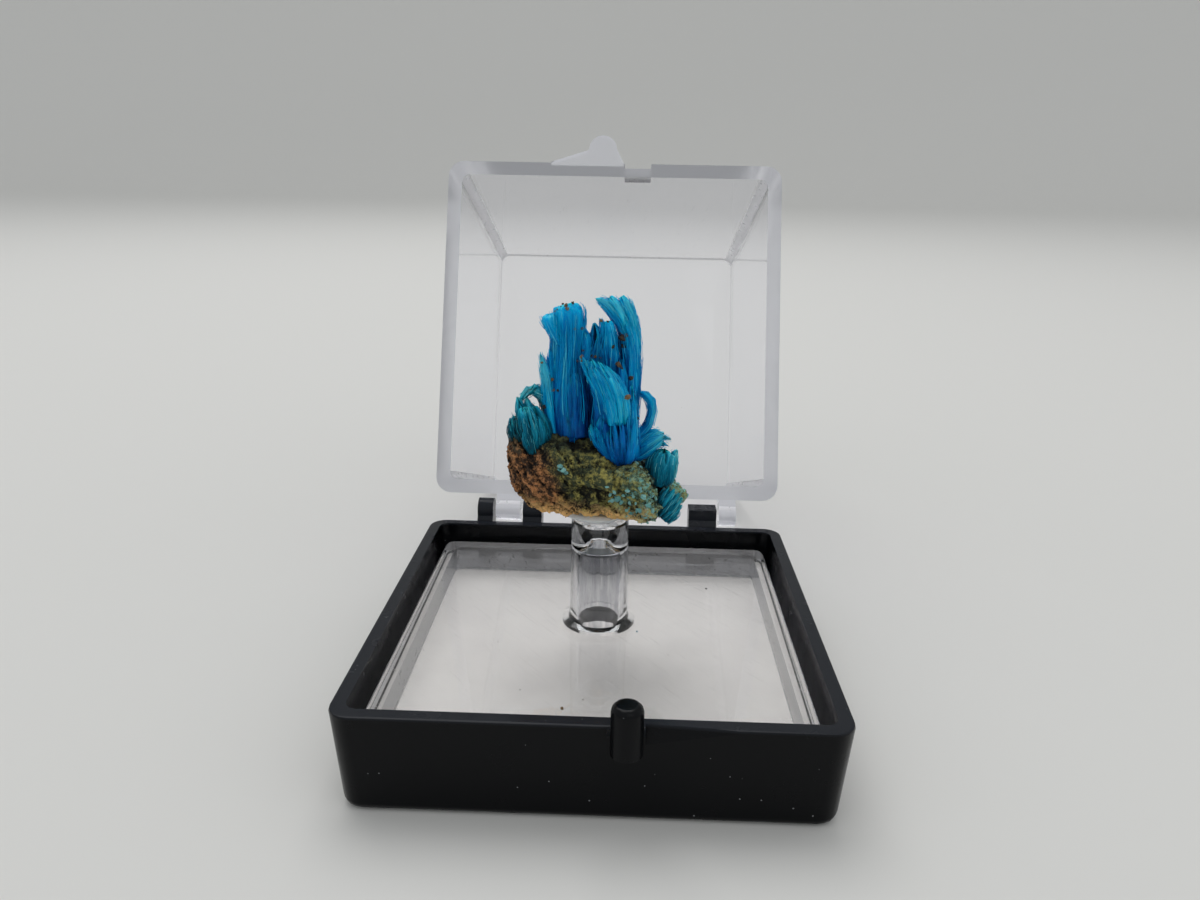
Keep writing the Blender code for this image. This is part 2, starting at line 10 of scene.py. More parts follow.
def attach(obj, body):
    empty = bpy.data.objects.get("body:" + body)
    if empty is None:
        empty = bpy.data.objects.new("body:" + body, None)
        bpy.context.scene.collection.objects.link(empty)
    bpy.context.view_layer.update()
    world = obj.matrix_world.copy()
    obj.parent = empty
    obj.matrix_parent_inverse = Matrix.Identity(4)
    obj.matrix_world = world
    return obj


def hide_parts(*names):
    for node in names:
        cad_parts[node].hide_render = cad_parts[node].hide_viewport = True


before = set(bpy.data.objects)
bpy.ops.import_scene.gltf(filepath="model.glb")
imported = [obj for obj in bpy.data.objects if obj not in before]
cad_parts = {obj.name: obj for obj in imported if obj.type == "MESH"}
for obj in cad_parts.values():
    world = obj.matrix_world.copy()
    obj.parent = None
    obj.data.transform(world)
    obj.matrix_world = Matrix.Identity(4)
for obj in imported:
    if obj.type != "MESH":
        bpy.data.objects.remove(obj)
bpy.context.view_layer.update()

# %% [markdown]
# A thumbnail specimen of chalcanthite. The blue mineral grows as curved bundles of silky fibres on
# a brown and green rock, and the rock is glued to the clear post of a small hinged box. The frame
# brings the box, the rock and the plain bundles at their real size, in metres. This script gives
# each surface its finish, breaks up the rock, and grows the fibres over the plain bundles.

MM = 0.001
scene = bpy.context.scene

# %% [markdown]
# The camera stands low in front of the box, at the height of the specimen's tips, and looks down
# by about 17 degrees. Its place was solved from the corners of the box's square rim. Depth of
# field stays off, so the lid is sharp here although it is soft in the photograph.

# %% Camera
CAMERA_MM = (1.966, -74.352, 46.053)
CAMERA_TURN = (72.639, -0.995, 1.928)      # degrees about X, Y and Z
LENS = 27.368
SENSOR = 36.0
PICTURE = (1200, 900)

lens_data = bpy.data.cameras.new("camera")
lens_data.lens = LENS
lens_data.sensor_width = SENSOR
lens_data.clip_start = 0.005
lens_data.clip_end = 20.0
camera = bpy.data.objects.new("camera", lens_data)
camera.location = Vector(CAMERA_MM) * MM
camera.rotation_euler = Euler([math.radians(a) for a in CAMERA_TURN])
scene.collection.objects.link(camera)
scene.camera = camera
scene.view_settings.view_transform = "Standard"


def ray_through(px, py):
    """The direction from the camera through a point of the 1200 by 900 picture."""
    focal = LENS / SENSOR * PICTURE[0]
    aim = Vector(((px - PICTURE[0] / 2) / focal, (PICTURE[1] / 2 - py) / focal, -1.0))
    return (camera.rotation_euler.to_matrix() @ aim).normalized()


print("camera at", CAMERA_MM, "mm")

# %% [markdown]
# The stage is one pale sheet that lies flat under the box and curves up far behind it, so there is
# no hard line where table and wall meet. A single mesh with a rounded bend does this better than
# two planes. The light is a bright cloudy sky with one large soft panel overhead: it gives the
# faint shadow round the box and the long highlights in the clear plastic.

# %% Material helper


def finish(name):
    """A new node material. Returns it with its node tree and its Principled shader."""
    mat = bpy.data.materials.new(name)
    mat.use_nodes = True
    tree = mat.node_tree
    return mat, tree, tree.nodes["Principled BSDF"]


def add(tree, kind, **settings):
    """Add a node and set its properties, and its inputs where the key is a socket's number or name."""
    node = tree.nodes.new(kind)
    for key, value in settings.pop("inputs", {}).items():
        node.inputs[key].default_value = value
    for key, value in settings.items():
        setattr(node, key, value)
    return node


# %% Stage and light
FLOOR_COLOUR = (0.74, 0.73, 0.705)
BEND_START = 1.1      # metres behind the box
BEND_RADIUS = 0.7
HALF_WIDTH = 3.0

profile = [(-2.0, 0.0), (BEND_START, 0.0)]
for step in range(1, 17):
    angle = math.pi / 2 * step / 16
    profile.append((BEND_START + BEND_RADIUS * math.sin(angle), BEND_RADIUS * (1 - math.cos(angle))))
profile.append((BEND_START + BEND_RADIUS, 2.5))

bm = bmesh.new()
rows = [[bm.verts.new((x, y, z)) for x in (-HALF_WIDTH, HALF_WIDTH)] for y, z in profile]
for low, high in zip(rows, rows[1:]):
    bm.faces.new((low[0], low[1], high[1], high[0]))
sheet_mesh = bpy.data.meshes.new("backdrop")
bm.to_mesh(sheet_mesh)
bm.free()
sheet_mesh.shade_smooth()
backdrop = bpy.data.objects.new("backdrop", sheet_mesh)
scene.collection.objects.link(backdrop)

backdrop_paint, tree, shader = finish("backdrop_paint")
shader.inputs["Base Color"].default_value = (*FLOOR_COLOUR, 1.0)
shader.inputs["Roughness"].default_value = 0.9
backdrop.data.materials.append(backdrop_paint)


def soft_panel(name, place, target, size, power):
    """A large square lamp at a place in metres, aimed at a target."""
    lamp = bpy.data.lights.new(name, "AREA")
    lamp.shape = "SQUARE"
    lamp.size = size
    lamp.energy = power
    obj = bpy.data.objects.new(name, lamp)
    obj.location = place
    obj.rotation_euler = (Vector(target) - Vector(place)).to_track_quat("-Z", "Y").to_euler()
    scene.collection.objects.link(obj)
    return obj


soft_panel("overhead_panel", (-0.10, 0.30, 0.70), (0, 0, 0.02), 0.55, 1.9)
soft_panel("front_panel", (0.25, -0.50, 0.65), (0, 0, 0.02), 0.5, 0.35)

world = bpy.data.worlds.new("cloudy")
scene.world = world
world.use_nodes = True
world.node_tree.nodes["Background"].inputs["Color"].default_value = (0.95, 0.98, 1.0, 1.0)
world.node_tree.nodes["Background"].inputs["Strength"].default_value = 0.60
print("stage: backdrop, 2 lamps, sky")

# %% [markdown]
# The CAD nodes arrive as loose flat triangles. For the moulded box a finished piece is a merged
# copy: doubles are removed, flat neighbours are dissolved into one face, and each corner gets its
# own normal. A wide face is a wall and keeps its flat normal, and the narrow faces of a rounded
# edge blend between the walls beside them. Plain smooth shading would bend the light over the whole
# of a wall, which shows at once in clear plastic.

# %% Merged copies of the moulded nodes


FLAT_WIDTH = 0.7      # a face at least this wide in mm is a flat wall, a narrower one is part of a round


def merged_copy(node, name, round_deg=33.0):
    """A clean copy of a CAD node: one closed mesh, smooth over its round parts and flat on its walls."""
    bm = bmesh.new()
    bm.from_mesh(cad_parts[node].data)
    bmesh.ops.remove_doubles(bm, verts=bm.verts, dist=0.002 * MM)
    bmesh.ops.dissolve_limit(bm, angle_limit=math.radians(0.4), verts=bm.verts, edges=bm.edges)
    wall = bm.faces.layers.int.new("wall")
    for face in bm.faces:
        longest = max(e.calc_length() for e in face.edges)
        face[wall] = int(face.calc_area() / longest > FLAT_WIDTH * MM)
    bmesh.ops.triangulate(bm, faces=bm.faces)
    bm.normal_update()
    closest = math.cos(math.radians(round_deg))
    normals = []
    for face in bm.faces:
        for vert in face.verts:
            near = [f for f in vert.link_faces if f.normal.dot(face.normal) > closest]
            walls = [f for f in near if f[wall]]
            if face[wall]:
                normals.append(face.normal.copy())
            elif walls:
                normals.append(max(walls, key=lambda f: f.normal.dot(face.normal)).normal.copy())
            else:
                normals.append(sum((f.normal * f.calc_area() for f in near), Vector()).normalized())
    mesh = bpy.data.meshes.new(name)
    bm.to_mesh(mesh)
    bm.free()
    mesh.shade_smooth()
    mesh.normals_split_custom_set(normals)
    piece = bpy.data.objects.new(name, mesh)
    scene.collection.objects.link(piece)
    return piece


def settle(piece, mat, body, slot, *nodes):
    """Give a piece its material, its body and the nodes that it stands for. The slot is not used."""
    piece.data.materials.clear()
    piece.data.materials.append(mat)
    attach(piece, body)
    if nodes:
        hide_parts(*nodes)
    print(piece.name, len(piece.data.polygons), "faces")


# %% [markdown]
# Two effects show on all the plastic: dust specks and fine hairline scratches. Each is a shader
# node group, so the black tray, the clear insert and the lid share one recipe with their own
# amounts. Dust is a Voronoi pattern cut down to small spots, and only some cells keep their spot.
# A scratch is a noise that is stretched a hundredfold along one direction and cut to its crests.

# %% Shader groups for dust and scratches


def group(name, inputs, outputs):
    """An empty shader node group with float or vector sockets. Returns it with its two end nodes."""
    tree = bpy.data.node_groups.new(name, "ShaderNodeTree")
    for label, kind, value in inputs:
        socket = tree.interface.new_socket(label, in_out="INPUT", socket_type=kind)
        if value is not None:
            socket.default_value = value
    for label, kind in outputs:
        tree.interface.new_socket(label, in_out="OUTPUT", socket_type=kind)
    return tree, tree.nodes.new("NodeGroupInput"), tree.nodes.new("NodeGroupOutput")


def make_dust_group():
    tree, given, result = group("dust_specks", [
        ("Place", "NodeSocketVector", None), ("Per mm", "NodeSocketFloat", 1.0),
        ("Speck size", "NodeSocketFloat", 0.12), ("Share", "NodeSocketFloat", 0.5),
    ], [("Mask", "NodeSocketFloat")])
    link = tree.links.new
    cells = add(tree, "ShaderNodeTexVoronoi", feature="F1")
    link(given.outputs["Place"], cells.inputs["Vector"])
    link(given.outputs["Per mm"], cells.inputs["Scale"])
    pick = add(tree, "ShaderNodeSeparateColor")
    link(cells.outputs["Color"], pick.inputs[0])
    kept = add(tree, "ShaderNodeMath", operation="LESS_THAN")
    link(pick.outputs[0], kept.inputs[0])
    link(given.outputs["Share"], kept.inputs[1])
    varied = add(tree, "ShaderNodeMath", operation="MULTIPLY")
    link(pick.outputs[1], varied.inputs[0])
    link(given.outputs["Speck size"], varied.inputs[1])
    spot = add(tree, "ShaderNodeMath", operation="LESS_THAN")
    link(cells.outputs["Distance"], spot.inputs[0])
    link(varied.outputs[0], spot.inputs[1])
    both = add(tree, "ShaderNodeMath", operation="MULTIPLY")
    link(spot.outputs[0], both.inputs[0])
    link(kept.outputs[0], both.inputs[1])
    link(both.outputs[0], result.inputs["Mask"])
    return tree


def make_scratch_group():
    tree, given, result = group("hairline_scratches", [
        ("Place", "NodeSocketVector", None), ("Turn", "NodeSocketFloat", 0.3),
        ("Rarity", "NodeSocketFloat", 0.66),
    ], [("Mask", "NodeSocketFloat")])
    link = tree.links.new
    turned = add(tree, "ShaderNodeVectorRotate", rotation_type="Z_AXIS")
    link(given.outputs["Place"], turned.inputs["Vector"])
    link(given.outputs["Turn"], turned.inputs["Angle"])
    drawn = add(tree, "ShaderNodeVectorMath", operation="MULTIPLY", inputs={1: (0.22, 14.0, 1.0)})
    link(turned.outputs[0], drawn.inputs[0])
    streak = add(tree, "ShaderNodeTexNoise", inputs={"Scale": 1.0, "Detail": 1.0})
    link(drawn.outputs[0], streak.inputs["Vector"])
    crest = add(tree, "ShaderNodeMapRange", inputs={"From Max": 0.8})
    link(streak.outputs["Fac"], crest.inputs["Value"])
    link(given.outputs["Rarity"], crest.inputs["From Min"])
    link(crest.outputs[0], result.inputs["Mask"])
    return tree


DUST = make_dust_group()
SCRATCHES = make_scratch_group()
print("groups:", DUST.name, SCRATCHES.name)


def place_in_mm(tree):
    """A point of the piece in millimetres, as a vector socket."""
    where = add(tree, "ShaderNodeTexCoord")
    scaled = add(tree, "ShaderNodeVectorMath", operation="MULTIPLY", inputs={1: (1 / MM, 1 / MM, 1 / MM)})
    tree.links.new(where.outputs["Object"], scaled.inputs[0])
    return scaled.outputs[0]


def use(tree, shared, place, **values):
    """Put a shared group in a material, fed with the place. Keys are input names with _ for a space."""
    node = add(tree, "ShaderNodeGroup", node_tree=shared)
    tree.links.new(place, node.inputs["Place"])
    for key, value in values.items():
        node.inputs[key.replace("_", " ")].default_value = value
    return node


def noise_at(tree, place, scale, detail=3.0, roughness=0.55):
    node = add(tree, "ShaderNodeTexNoise", inputs={"Scale": scale, "Detail": detail, "Roughness": roughness})
    tree.links.new(place, node.inputs["Vector"])
    return node.outputs["Fac"]


def spread(tree, value, low, high, to_low=0.0, to_high=1.0):
    """Map a value from one range to another, clamped."""
    node = add(tree, "ShaderNodeMapRange", inputs={"From Min": low, "From Max": high,
                                                    "To Min": to_low, "To Max": to_high})
    tree.links.new(value, node.inputs["Value"])
    return node.outputs[0]


def blend_colours(tree, factor, first, second):
    """Mix two colours, each a tuple or a socket."""
    node = add(tree, "ShaderNodeMix", data_type="RGBA")
    tree.links.new(factor, node.inputs["Factor"])
    for socket, colour in ((node.inputs[6], first), (node.inputs[7], second)):
        if isinstance(colour, tuple):
            socket.default_value = (*colour, 1.0)
        else:
            tree.links.new(colour, socket)
    return node.outputs[2]


def bump(tree, shader, height, strength, distance_mm, below=None):
    """Feed a height to the shader's normal, on top of another bump where one is given."""
    node = add(tree, "ShaderNodeBump", inputs={"Strength": strength, "Distance": distance_mm * MM})
    tree.links.new(height, node.inputs["Height"])
    if below:
        tree.links.new(below.outputs[0], node.inputs["Normal"])
    tree.links.new(node.outputs[0], shader.inputs["Normal"])
    return node


# %% [markdown]
# The tray is black polystyrene, moulded and glossy. A mirror-flat black would look like ink, so
# its gloss varies a little with handling, the skin has a faint swirl, and pale dust specks lie on it.

# %% Black tray
BLACK = (0.0018, 0.0021, 0.0028)
# painted highlight: the top of the rim is painted paler than the black, and the catch pin is left black
RIM_PAINTED_HIGHLIGHT = (0.016, 0.018, 0.023)
RIM_MM = (8.15, 8.4)      # the rim pales between these heights, and the catch pin does not
PIN_MM = (2.65, -20.0)
DUST_GREY = (0.16, 0.165, 0.17)

black_plastic, tree, shader = finish("black_polystyrene")
place = place_in_mm(tree)
specks = use(tree, DUST, place, Per_mm=1.3, Speck_size=0.10, Share=0.35)
hairlines = use(tree, SCRATCHES, place, Turn=0.6, Rarity=0.7)
height = add(tree, "ShaderNodeSeparateXYZ")
tree.links.new(place, height.inputs[0])
flat = add(tree, "ShaderNodeVectorMath", operation="MULTIPLY", inputs={1: (1.0, 1.0, 0.0)})
tree.links.new(place, flat.inputs[0])
from_pin = add(tree, "ShaderNodeVectorMath", operation="DISTANCE", inputs={1: (*PIN_MM, 0.0)})
tree.links.new(flat.outputs[0], from_pin.inputs[0])
clear_of_pin = spread(tree, from_pin.outputs["Value"], 1.2, 1.5)
# painted highlight on the rim, kept off the catch pin
rim_highlight_colour = blend_colours(tree, clear_of_pin, BLACK, RIM_PAINTED_HIGHLIGHT)
colour = blend_colours(tree, spread(tree, height.outputs["Z"], *RIM_MM), BLACK, rim_highlight_colour)
colour = blend_colours(tree, specks.outputs["Mask"], colour, DUST_GREY)
tree.links.new(colour, shader.inputs["Base Color"])
handled = spread(tree, noise_at(tree, place, 0.35), 0.35, 0.7, 0.16, 0.30)
tree.links.new(handled, shader.inputs["Roughness"])
shader.inputs["Specular IOR Level"].default_value = 0.14
swirl = bump(tree, shader, noise_at(tree, place, 0.5, 2.0), 0.25, 0.05)
bump(tree, shader, hairlines.outputs["Mask"], 0.10, 0.01, swirl)

settle(merged_copy("base_tray", "tray_black"), black_plastic, "base", "black_plastic", "base_tray")

# %% [markdown]
# The liner is a plain off-white card that lies under the clear insert. Paper is never one flat
# tone, so two noises mottle it faintly and its fibres give a fine tooth.

# %% Liner card
CARD = (0.80, 0.775, 0.745)
CARD_SHADE = (0.74, 0.715, 0.69)

card_paper, tree, shader = finish("liner_paper")
place = place_in_mm(tree)
mottle = spread(tree, noise_at(tree, place, 0.25, 4.0), 0.35, 0.7)
tree.links.new(blend_colours(tree, mottle, CARD, CARD_SHADE), shader.inputs["Base Color"])
shader.inputs["Roughness"].default_value = 0.85
bump(tree, shader, noise_at(tree, place, 9.0, 4.0), 0.3, 0.02)
settle(merged_copy("liner_card", "card_white"), card_paper, "base", "white_card", "liner_card")

# %% [markdown]
# The insert and the lid are clear polystyrene, which bends light strongly. Real walls are in the
# mesh, so plain transmission with the right index of refraction draws the bright and dark bands
# in the edges by itself. Cycles blocks lamp light behind such a shader, so a Transparent shader
# takes over for shadow rays alone, and the card below stays lit. The insert's turned-down sides
# have a moulded texture that catches light in front of the black walls, so their faces get a
# frosted finish of their own. The lid's rim and round edges get one too: in the photograph they
# are out of focus, and show as pale lavender bands in place of sharp dark lines.

# %% Clear plastic
STYRENE_IOR = 1.58
LID_IOR = 1.30      # lower than the real index, to stand in for the blur that softens the lid's edges


def clear_plastic(name, tint, index, turn, rarity, dust_share):
    mat, tree, shader = finish(name)
    place = place_in_mm(tree)
    specks = use(tree, DUST, place, Per_mm=0.8, Speck_size=0.05, Share=dust_share)
    hairlines = use(tree, SCRATCHES, place, Turn=turn, Rarity=rarity)
    shader.inputs["Base Color"].default_value = (*tint, 1.0)
    shader.inputs["Transmission Weight"].default_value = 1.0
    shader.inputs["IOR"].default_value = index
    tree.links.new(spread(tree, specks.outputs["Mask"], 0.0, 1.0, 0.02, 0.5), shader.inputs["Roughness"])
    bump(tree, shader, hairlines.outputs["Mask"], 0.25, 0.012)
    lamp_light = add(tree, "ShaderNodeBsdfTransparent", inputs={"Color": (0.93, 0.93, 0.94, 1.0)})
    path = add(tree, "ShaderNodeLightPath")
    choose = add(tree, "ShaderNodeMixShader")
    tree.links.new(path.outputs["Is Shadow Ray"], choose.inputs[0])
    tree.links.new(shader.outputs[0], choose.inputs[1])
    tree.links.new(lamp_light.outputs[0], choose.inputs[2])
    tree.links.new(choose.outputs[0], tree.nodes["Material Output"].inputs["Surface"])
    return mat


insert_plastic = clear_plastic("clear_insert_plastic", (0.985, 0.985, 0.985), STYRENE_IOR, 0.9, 0.66, 0.25)
lid_plastic = clear_plastic("clear_lid_plastic", (0.955, 0.955, 0.985), LID_IOR, 1.4, 0.72, 0.12)


def frosted_plastic(name, tint, clear_share, low_rough, high_rough):
    mat, tree, shader = finish(name)
    place = place_in_mm(tree)
    shader.inputs["Base Color"].default_value = (*tint, 1.0)
    shader.inputs["Transmission Weight"].default_value = clear_share
    shader.inputs["IOR"].default_value = LID_IOR
    tree.links.new(spread(tree, noise_at(tree, place, 1.5), 0.3, 0.7, low_rough, high_rough),
                   shader.inputs["Roughness"])
    return mat


def face_finish(piece, mat, rule):
    """Give the faces that pass a rule a material of their own, next to the piece's main one."""
    piece.data.materials.append(mat)
    last = len(piece.data.materials) - 1
    for face in piece.data.polygons:
        if rule(face):
            face.material_index = last


insert_piece = merged_copy("clear_insert", "insert_clear")
settle(insert_piece, insert_plastic, "base", "clear_plastic", "clear_insert")
skirt = max(v.co.x for v in insert_piece.data.vertices) - 0.5 * MM
frosted_skirt = frosted_plastic("frosted_skirt", (0.86, 0.86, 0.89), 0.55, 0.25, 0.5)
face_finish(insert_piece, frosted_skirt,
            lambda f: max(abs(f.center.x), abs(f.center.y)) > skirt and abs(f.normal.z) < 0.3)

# the post was turned out of its mould with upright draw lines, which break up what shows through it;
# its tint is painted dark and pale in streaks along them, as painted reflections of the black tray
POST_REACH = 2.75 * MM
post_draw_lines_and_painted_reflections = clear_plastic("post_draw_lines_and_painted_reflections", (0.90, 0.90, 0.915), STYRENE_IOR, 0.9, 0.66, 0.0)
tree = post_draw_lines_and_painted_reflections.node_tree
upright = add(tree, "ShaderNodeVectorMath", operation="MULTIPLY", inputs={1: (3.0, 3.0, 0.3)})
tree.links.new(place_in_mm(tree), upright.inputs[0])
lines = noise_at(tree, upright.outputs[0], 1.0, 3.0)
shader = tree.nodes["Principled BSDF"]
bump(tree, shader, lines, 0.30, 0.05)
# painted reflections: the tint runs from dark grey to pale along the draw lines
tree.links.new(blend_colours(tree, spread(tree, lines, 0.38, 0.62), (0.66, 0.67, 0.70), (0.94, 0.94, 0.95)),
               shader.inputs["Base Color"])
face_finish(insert_piece, post_draw_lines_and_painted_reflections,
            lambda f: f.center.xy.length < POST_REACH and f.center.z > 7.4 * MM and abs(f.normal.z) < 0.8)

LID_OPEN = math.radians(111.4)
lid_piece = merged_copy("lid", "lid_clear")
settle(lid_piece, lid_plastic, "lid", "clear_plastic", "lid")
mouth = Vector((0.0, -math.sin(LID_OPEN), -math.cos(LID_OPEN)))     # out of the open lid
rim_at = max(v.co.dot(mouth) for v in lid_piece.data.vertices)


def narrow(face):
    points = [lid_piece.data.vertices[i].co for i in face.vertices]
    longest = max((a - b).length for a, b in zip(points, points[1:] + points[:1]))
    return face.area * 2 / longest < FLAT_WIDTH * MM and face.center.dot(mouth) > rim_at - 0.034


soft_edge = frosted_plastic("soft_lid_edge", (0.94, 0.94, 0.98), 0.88, 0.25, 0.4)
soft_rim = frosted_plastic("soft_lid_rim", (0.83, 0.83, 0.87), 0.5, 0.3, 0.45)
face_finish(lid_piece, soft_edge, narrow)
face_finish(lid_piece, soft_rim, lambda f: f.normal.dot(mouth) > 0.85 and f.center.dot(mouth) > rim_at - 0.002)
face_finish(lid_piece, soft_edge, lambda f: abs(f.center.x / MM - PIN_MM[0]) < 1.7 and f.center.z > 40 * MM
            and rim_at - 0.0035 < f.center.dot(mouth) < rim_at - 0.0002)

# %% [markdown]
# The specimen is held by a pad of milky tack that was pressed on the post. Light goes some way
# into it, so it has a little subsurface scatter under a soft gloss.

# %% Glue pad
glue_tack, tree, shader = finish("milky_tack")
place = place_in_mm(tree)
cloud = spread(tree, noise_at(tree, place, 0.9), 0.3, 0.7)
tree.links.new(blend_colours(tree, cloud, (0.84, 0.91, 0.97), (0.90, 0.97, 1.0)), shader.inputs["Base Color"])
shader.inputs["Roughness"].default_value = 0.3
shader.inputs["Transmission Weight"].default_value = 0.15
shader.inputs["Subsurface Weight"].default_value = 0.6
shader.inputs["Subsurface Scale"].default_value = 0.8 * MM
shader.inputs["Subsurface Radius"].default_value = (1.0, 0.95, 0.9)
bump(tree, shader, noise_at(tree, place, 1.6), 0.35, 0.15)
settle(merged_copy("glue_pad", "tack_milky", 60.0), glue_tack, "base", "mounting_glue", "glue_pad")

# %% [markdown]
# The rock is a weathered chip: rust brown and broken into crumbs on the left, olive and mossy
# looking in the middle, and specked with green and turquoise copper salts on the right. The CAD
# solid has its planes and corners. Here a copy of it is divided finely and every point is moved
# by noise of three sizes, so that the crumbs also show in the outline.

# %% Rock: broken surface
ROCK_CUTS = 3
HUMP_MM = 24.6        # above this height the rock is held down, where crystals cover it in the photograph
# blocks, lumps and crumbs: pieces per mm, how far they stand out in mm, and how much they are drawn out
BREAKS = [(0.34, 0.60, 1.7), (0.85, 0.17, 1.5), (2.1, 0.16, 1.2), (5.0, 0.08, 1.0)]
GRAIN_LINE = Vector((0.70, -0.10, -0.70))     # blocks are drawn out along this direction
LEDGE_LINE = Vector((0.62, -0.25, 0.74))      # the rock splits in ledges across this one
LEDGE_MM = 1.15


def rock_relief(p):
    """How far the rock's skin stands out at a point in mm."""
    out = 0.0
    for k, (per_mm, height, drawn) in enumerate(BREAKS):
        squeezed = (p - GRAIN_LINE * p.dot(GRAIN_LINE) * (1 - 1 / drawn)) * per_mm + Vector((7.3 * k, 3.1, 1.7 * k))
        (near, next_near, *_), (middle, *_) = noise.voronoi(squeezed)
        tilt = noise.cell_vector(middle * 23.0) - Vector((0.5, 0.5, 0.5))
        crack = min(1.0, (next_near - near) * 5.0) - 1.0
        out += height * (0.10 * crack + 1.5 * tilt.dot(squeezed - middle) + 0.2 * tilt.x)
    ledge = p.dot(LEDGE_LINE) / LEDGE_MM + noise.noise(p * 0.35) * 1.3
    out += (ledge % 1.0) * 0.30 - 0.16
    return out


def crumbled_rock():
    bm = bmesh.new()
    bm.from_mesh(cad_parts["matrix"].data)
    bmesh.ops.remove_doubles(bm, verts=bm.verts, dist=0.002 * MM)
    for cut in range(ROCK_CUTS):
        bmesh.ops.subdivide_edges(bm, edges=bm.edges, cuts=1, use_grid_fill=True,
                                  smooth=0.6 if cut == 0 else 0.0)
    bm.normal_update()
    low_z = min(v.co.z for v in bm.verts)
    tone = bm.verts.layers.float.new("tone")
    for v in bm.verts:
        out = rock_relief(v.co / MM)
        # painted light and shade: the tone is pale where the skin stands out and dark where it sinks
        v[tone] = min(1.0, max(0.0, 0.62 + out * 1.1))
        resting = min(1.0, max(0.0, (v.co.z - low_z) / MM * 2.0))
        v.co += v.normal * (out - 0.05) * MM * (0.2 + 0.8 * resting)
        if v.co.z > HUMP_MM * MM:
            v.co.z = HUMP_MM * MM + (v.co.z - HUMP_MM * MM) * 0.35
    mesh = bpy.data.meshes.new("rock_crumbled")
    bm.to_mesh(mesh)
    bm.free()
    mesh.shade_smooth()
    mesh.set_sharp_from_angle(angle=math.radians(20))
    piece = bpy.data.objects.new("rock_crumbled", mesh)
    scene.collection.objects.link(piece)
    return piece


rock_piece = crumbled_rock()
print("rock:", len(rock_piece.data.polygons), "faces")

# %% Rock: colours
RUST = (0.30, 0.135, 0.052)
EARTH = (0.030, 0.017, 0.010)
OLIVE = (0.185, 0.165, 0.045)
DARK_MOSS_AND_SHADE = (0.022, 0.030, 0.016)
OCHRE = (0.56, 0.34, 0.13)
COPPER_GREEN = (0.16, 0.30, 0.20)
SALT_STAIN = (0.11, 0.30, 0.29)


def add_up(tree, first, second, weight):
    """first + weight * second, for two value sockets."""
    node = add(tree, "ShaderNodeMath", operation="MULTIPLY_ADD", inputs={1: weight})
    tree.links.new(second, node.inputs[0])
    tree.links.new(first, node.inputs[2])
    return node.outputs[0]


rock_stone, tree, shader = finish("weathered_matrix")
place = place_in_mm(tree)
axes = add(tree, "ShaderNodeSeparateXYZ")
tree.links.new(place, axes.inputs[0])
wide = noise_at(tree, place, 0.5, 4.0)
medium = noise_at(tree, place, 1.9, 5.0, 0.7)
fine = noise_at(tree, place, 6.0, 5.0, 0.85)
brown = blend_colours(tree, spread(tree, medium, 0.46, 0.57), EARTH, RUST)
green = blend_colours(tree, spread(tree, medium, 0.44, 0.58), DARK_MOSS_AND_SHADE, OLIVE)
# the brown part lies to the left of a line that slopes down to the right across the front
slope = add_up(tree, add_up(tree, axes.outputs["X"], axes.outputs["Z"], 0.62), wide, 5.0)
slope = add_up(tree, slope, medium, 2.0)
left_share = spread(tree, slope, 12.2, 14.0, 1.0, 0.0)
skin = blend_colours(tree, left_share, green, brown)
ragged_z = add_up(tree, axes.outputs["Z"], medium, 3.0)
foot_share = spread(tree, ragged_z, 19.7, 21.0, 0.8, 0.0)
skin = blend_colours(tree, foot_share, skin, OCHRE)
right_share = spread(tree, add_up(tree, axes.outputs["X"], wide, 6.0), 4.5, 7.5, 0.0, 0.8)
salted = blend_colours(tree, spread(tree, fine, 0.45, 0.6), green, COPPER_GREEN)
skin = blend_colours(tree, right_share, skin, salted)
# copper salts stain it in ragged patches
stain = add(tree, "ShaderNodeMath", operation="MULTIPLY")
tree.links.new(spread(tree, noise_at(tree, place, 2.1, 5.0, 0.7), 0.53, 0.58), stain.inputs[0])
tree.links.new(right_share, stain.inputs[1])
skin = blend_colours(tree, stain.outputs[0], skin, SALT_STAIN)
# painted shade: near its top, under the crystals, the rock is painted nearly black
painted_shade_under_crystals = spread(tree, add_up(tree, axes.outputs["Z"], wide, 2.5), 24.1, 25.4, 0.0, 0.8)
skin = blend_colours(tree, painted_shade_under_crystals, skin, DARK_MOSS_AND_SHADE)
# painted shade and light: hollows are painted dark and edges pale from the relief stored as a tone,
# which also takes the painted shade of the ray fan further down; every crumb has its own tone
tone = add(tree, "ShaderNodeAttribute", attribute_name="tone").outputs["Fac"]
crumbly = noise_at(tree, place, 3.0, 5.0, 0.75)
grit_and_painted_shade = add_up(tree, add_up(tree, fine, crumbly, 1.3), tone, 0.7)
grit_and_painted_shade = spread(tree, add_up(tree, grit_and_painted_shade, noise_at(tree, place, 0.8, 2.0), 0.9), 1.69, 2.19, 0.06, 2.2)
# straight cracks run with the blocks, dark in the brown part
leaning = add(tree, "ShaderNodeVectorMath", operation="MULTIPLY", inputs={1: (0.5, 0.8, 1.0)})
turned = add(tree, "ShaderNodeVectorRotate", rotation_type="Y_AXIS", inputs={"Angle": 0.8})
tree.links.new(place, turned.inputs["Vector"])
tree.links.new(turned.outputs[0], leaning.inputs[0])
cracks = add(tree, "ShaderNodeTexVoronoi", feature="DISTANCE_TO_EDGE", inputs={"Scale": 0.9})
tree.links.new(leaning.outputs[0], cracks.inputs["Vector"])
dark_line = add(tree, "ShaderNodeMath", operation="MULTIPLY")
tree.links.new(spread(tree, cracks.outputs["Distance"], 0.0, 0.06, -1.0, 0.0), dark_line.inputs[0])
tree.links.new(left_share, dark_line.inputs[1])
grit_and_painted_shade = add_up(tree, grit_and_painted_shade, dark_line.outputs[0], 0.9)
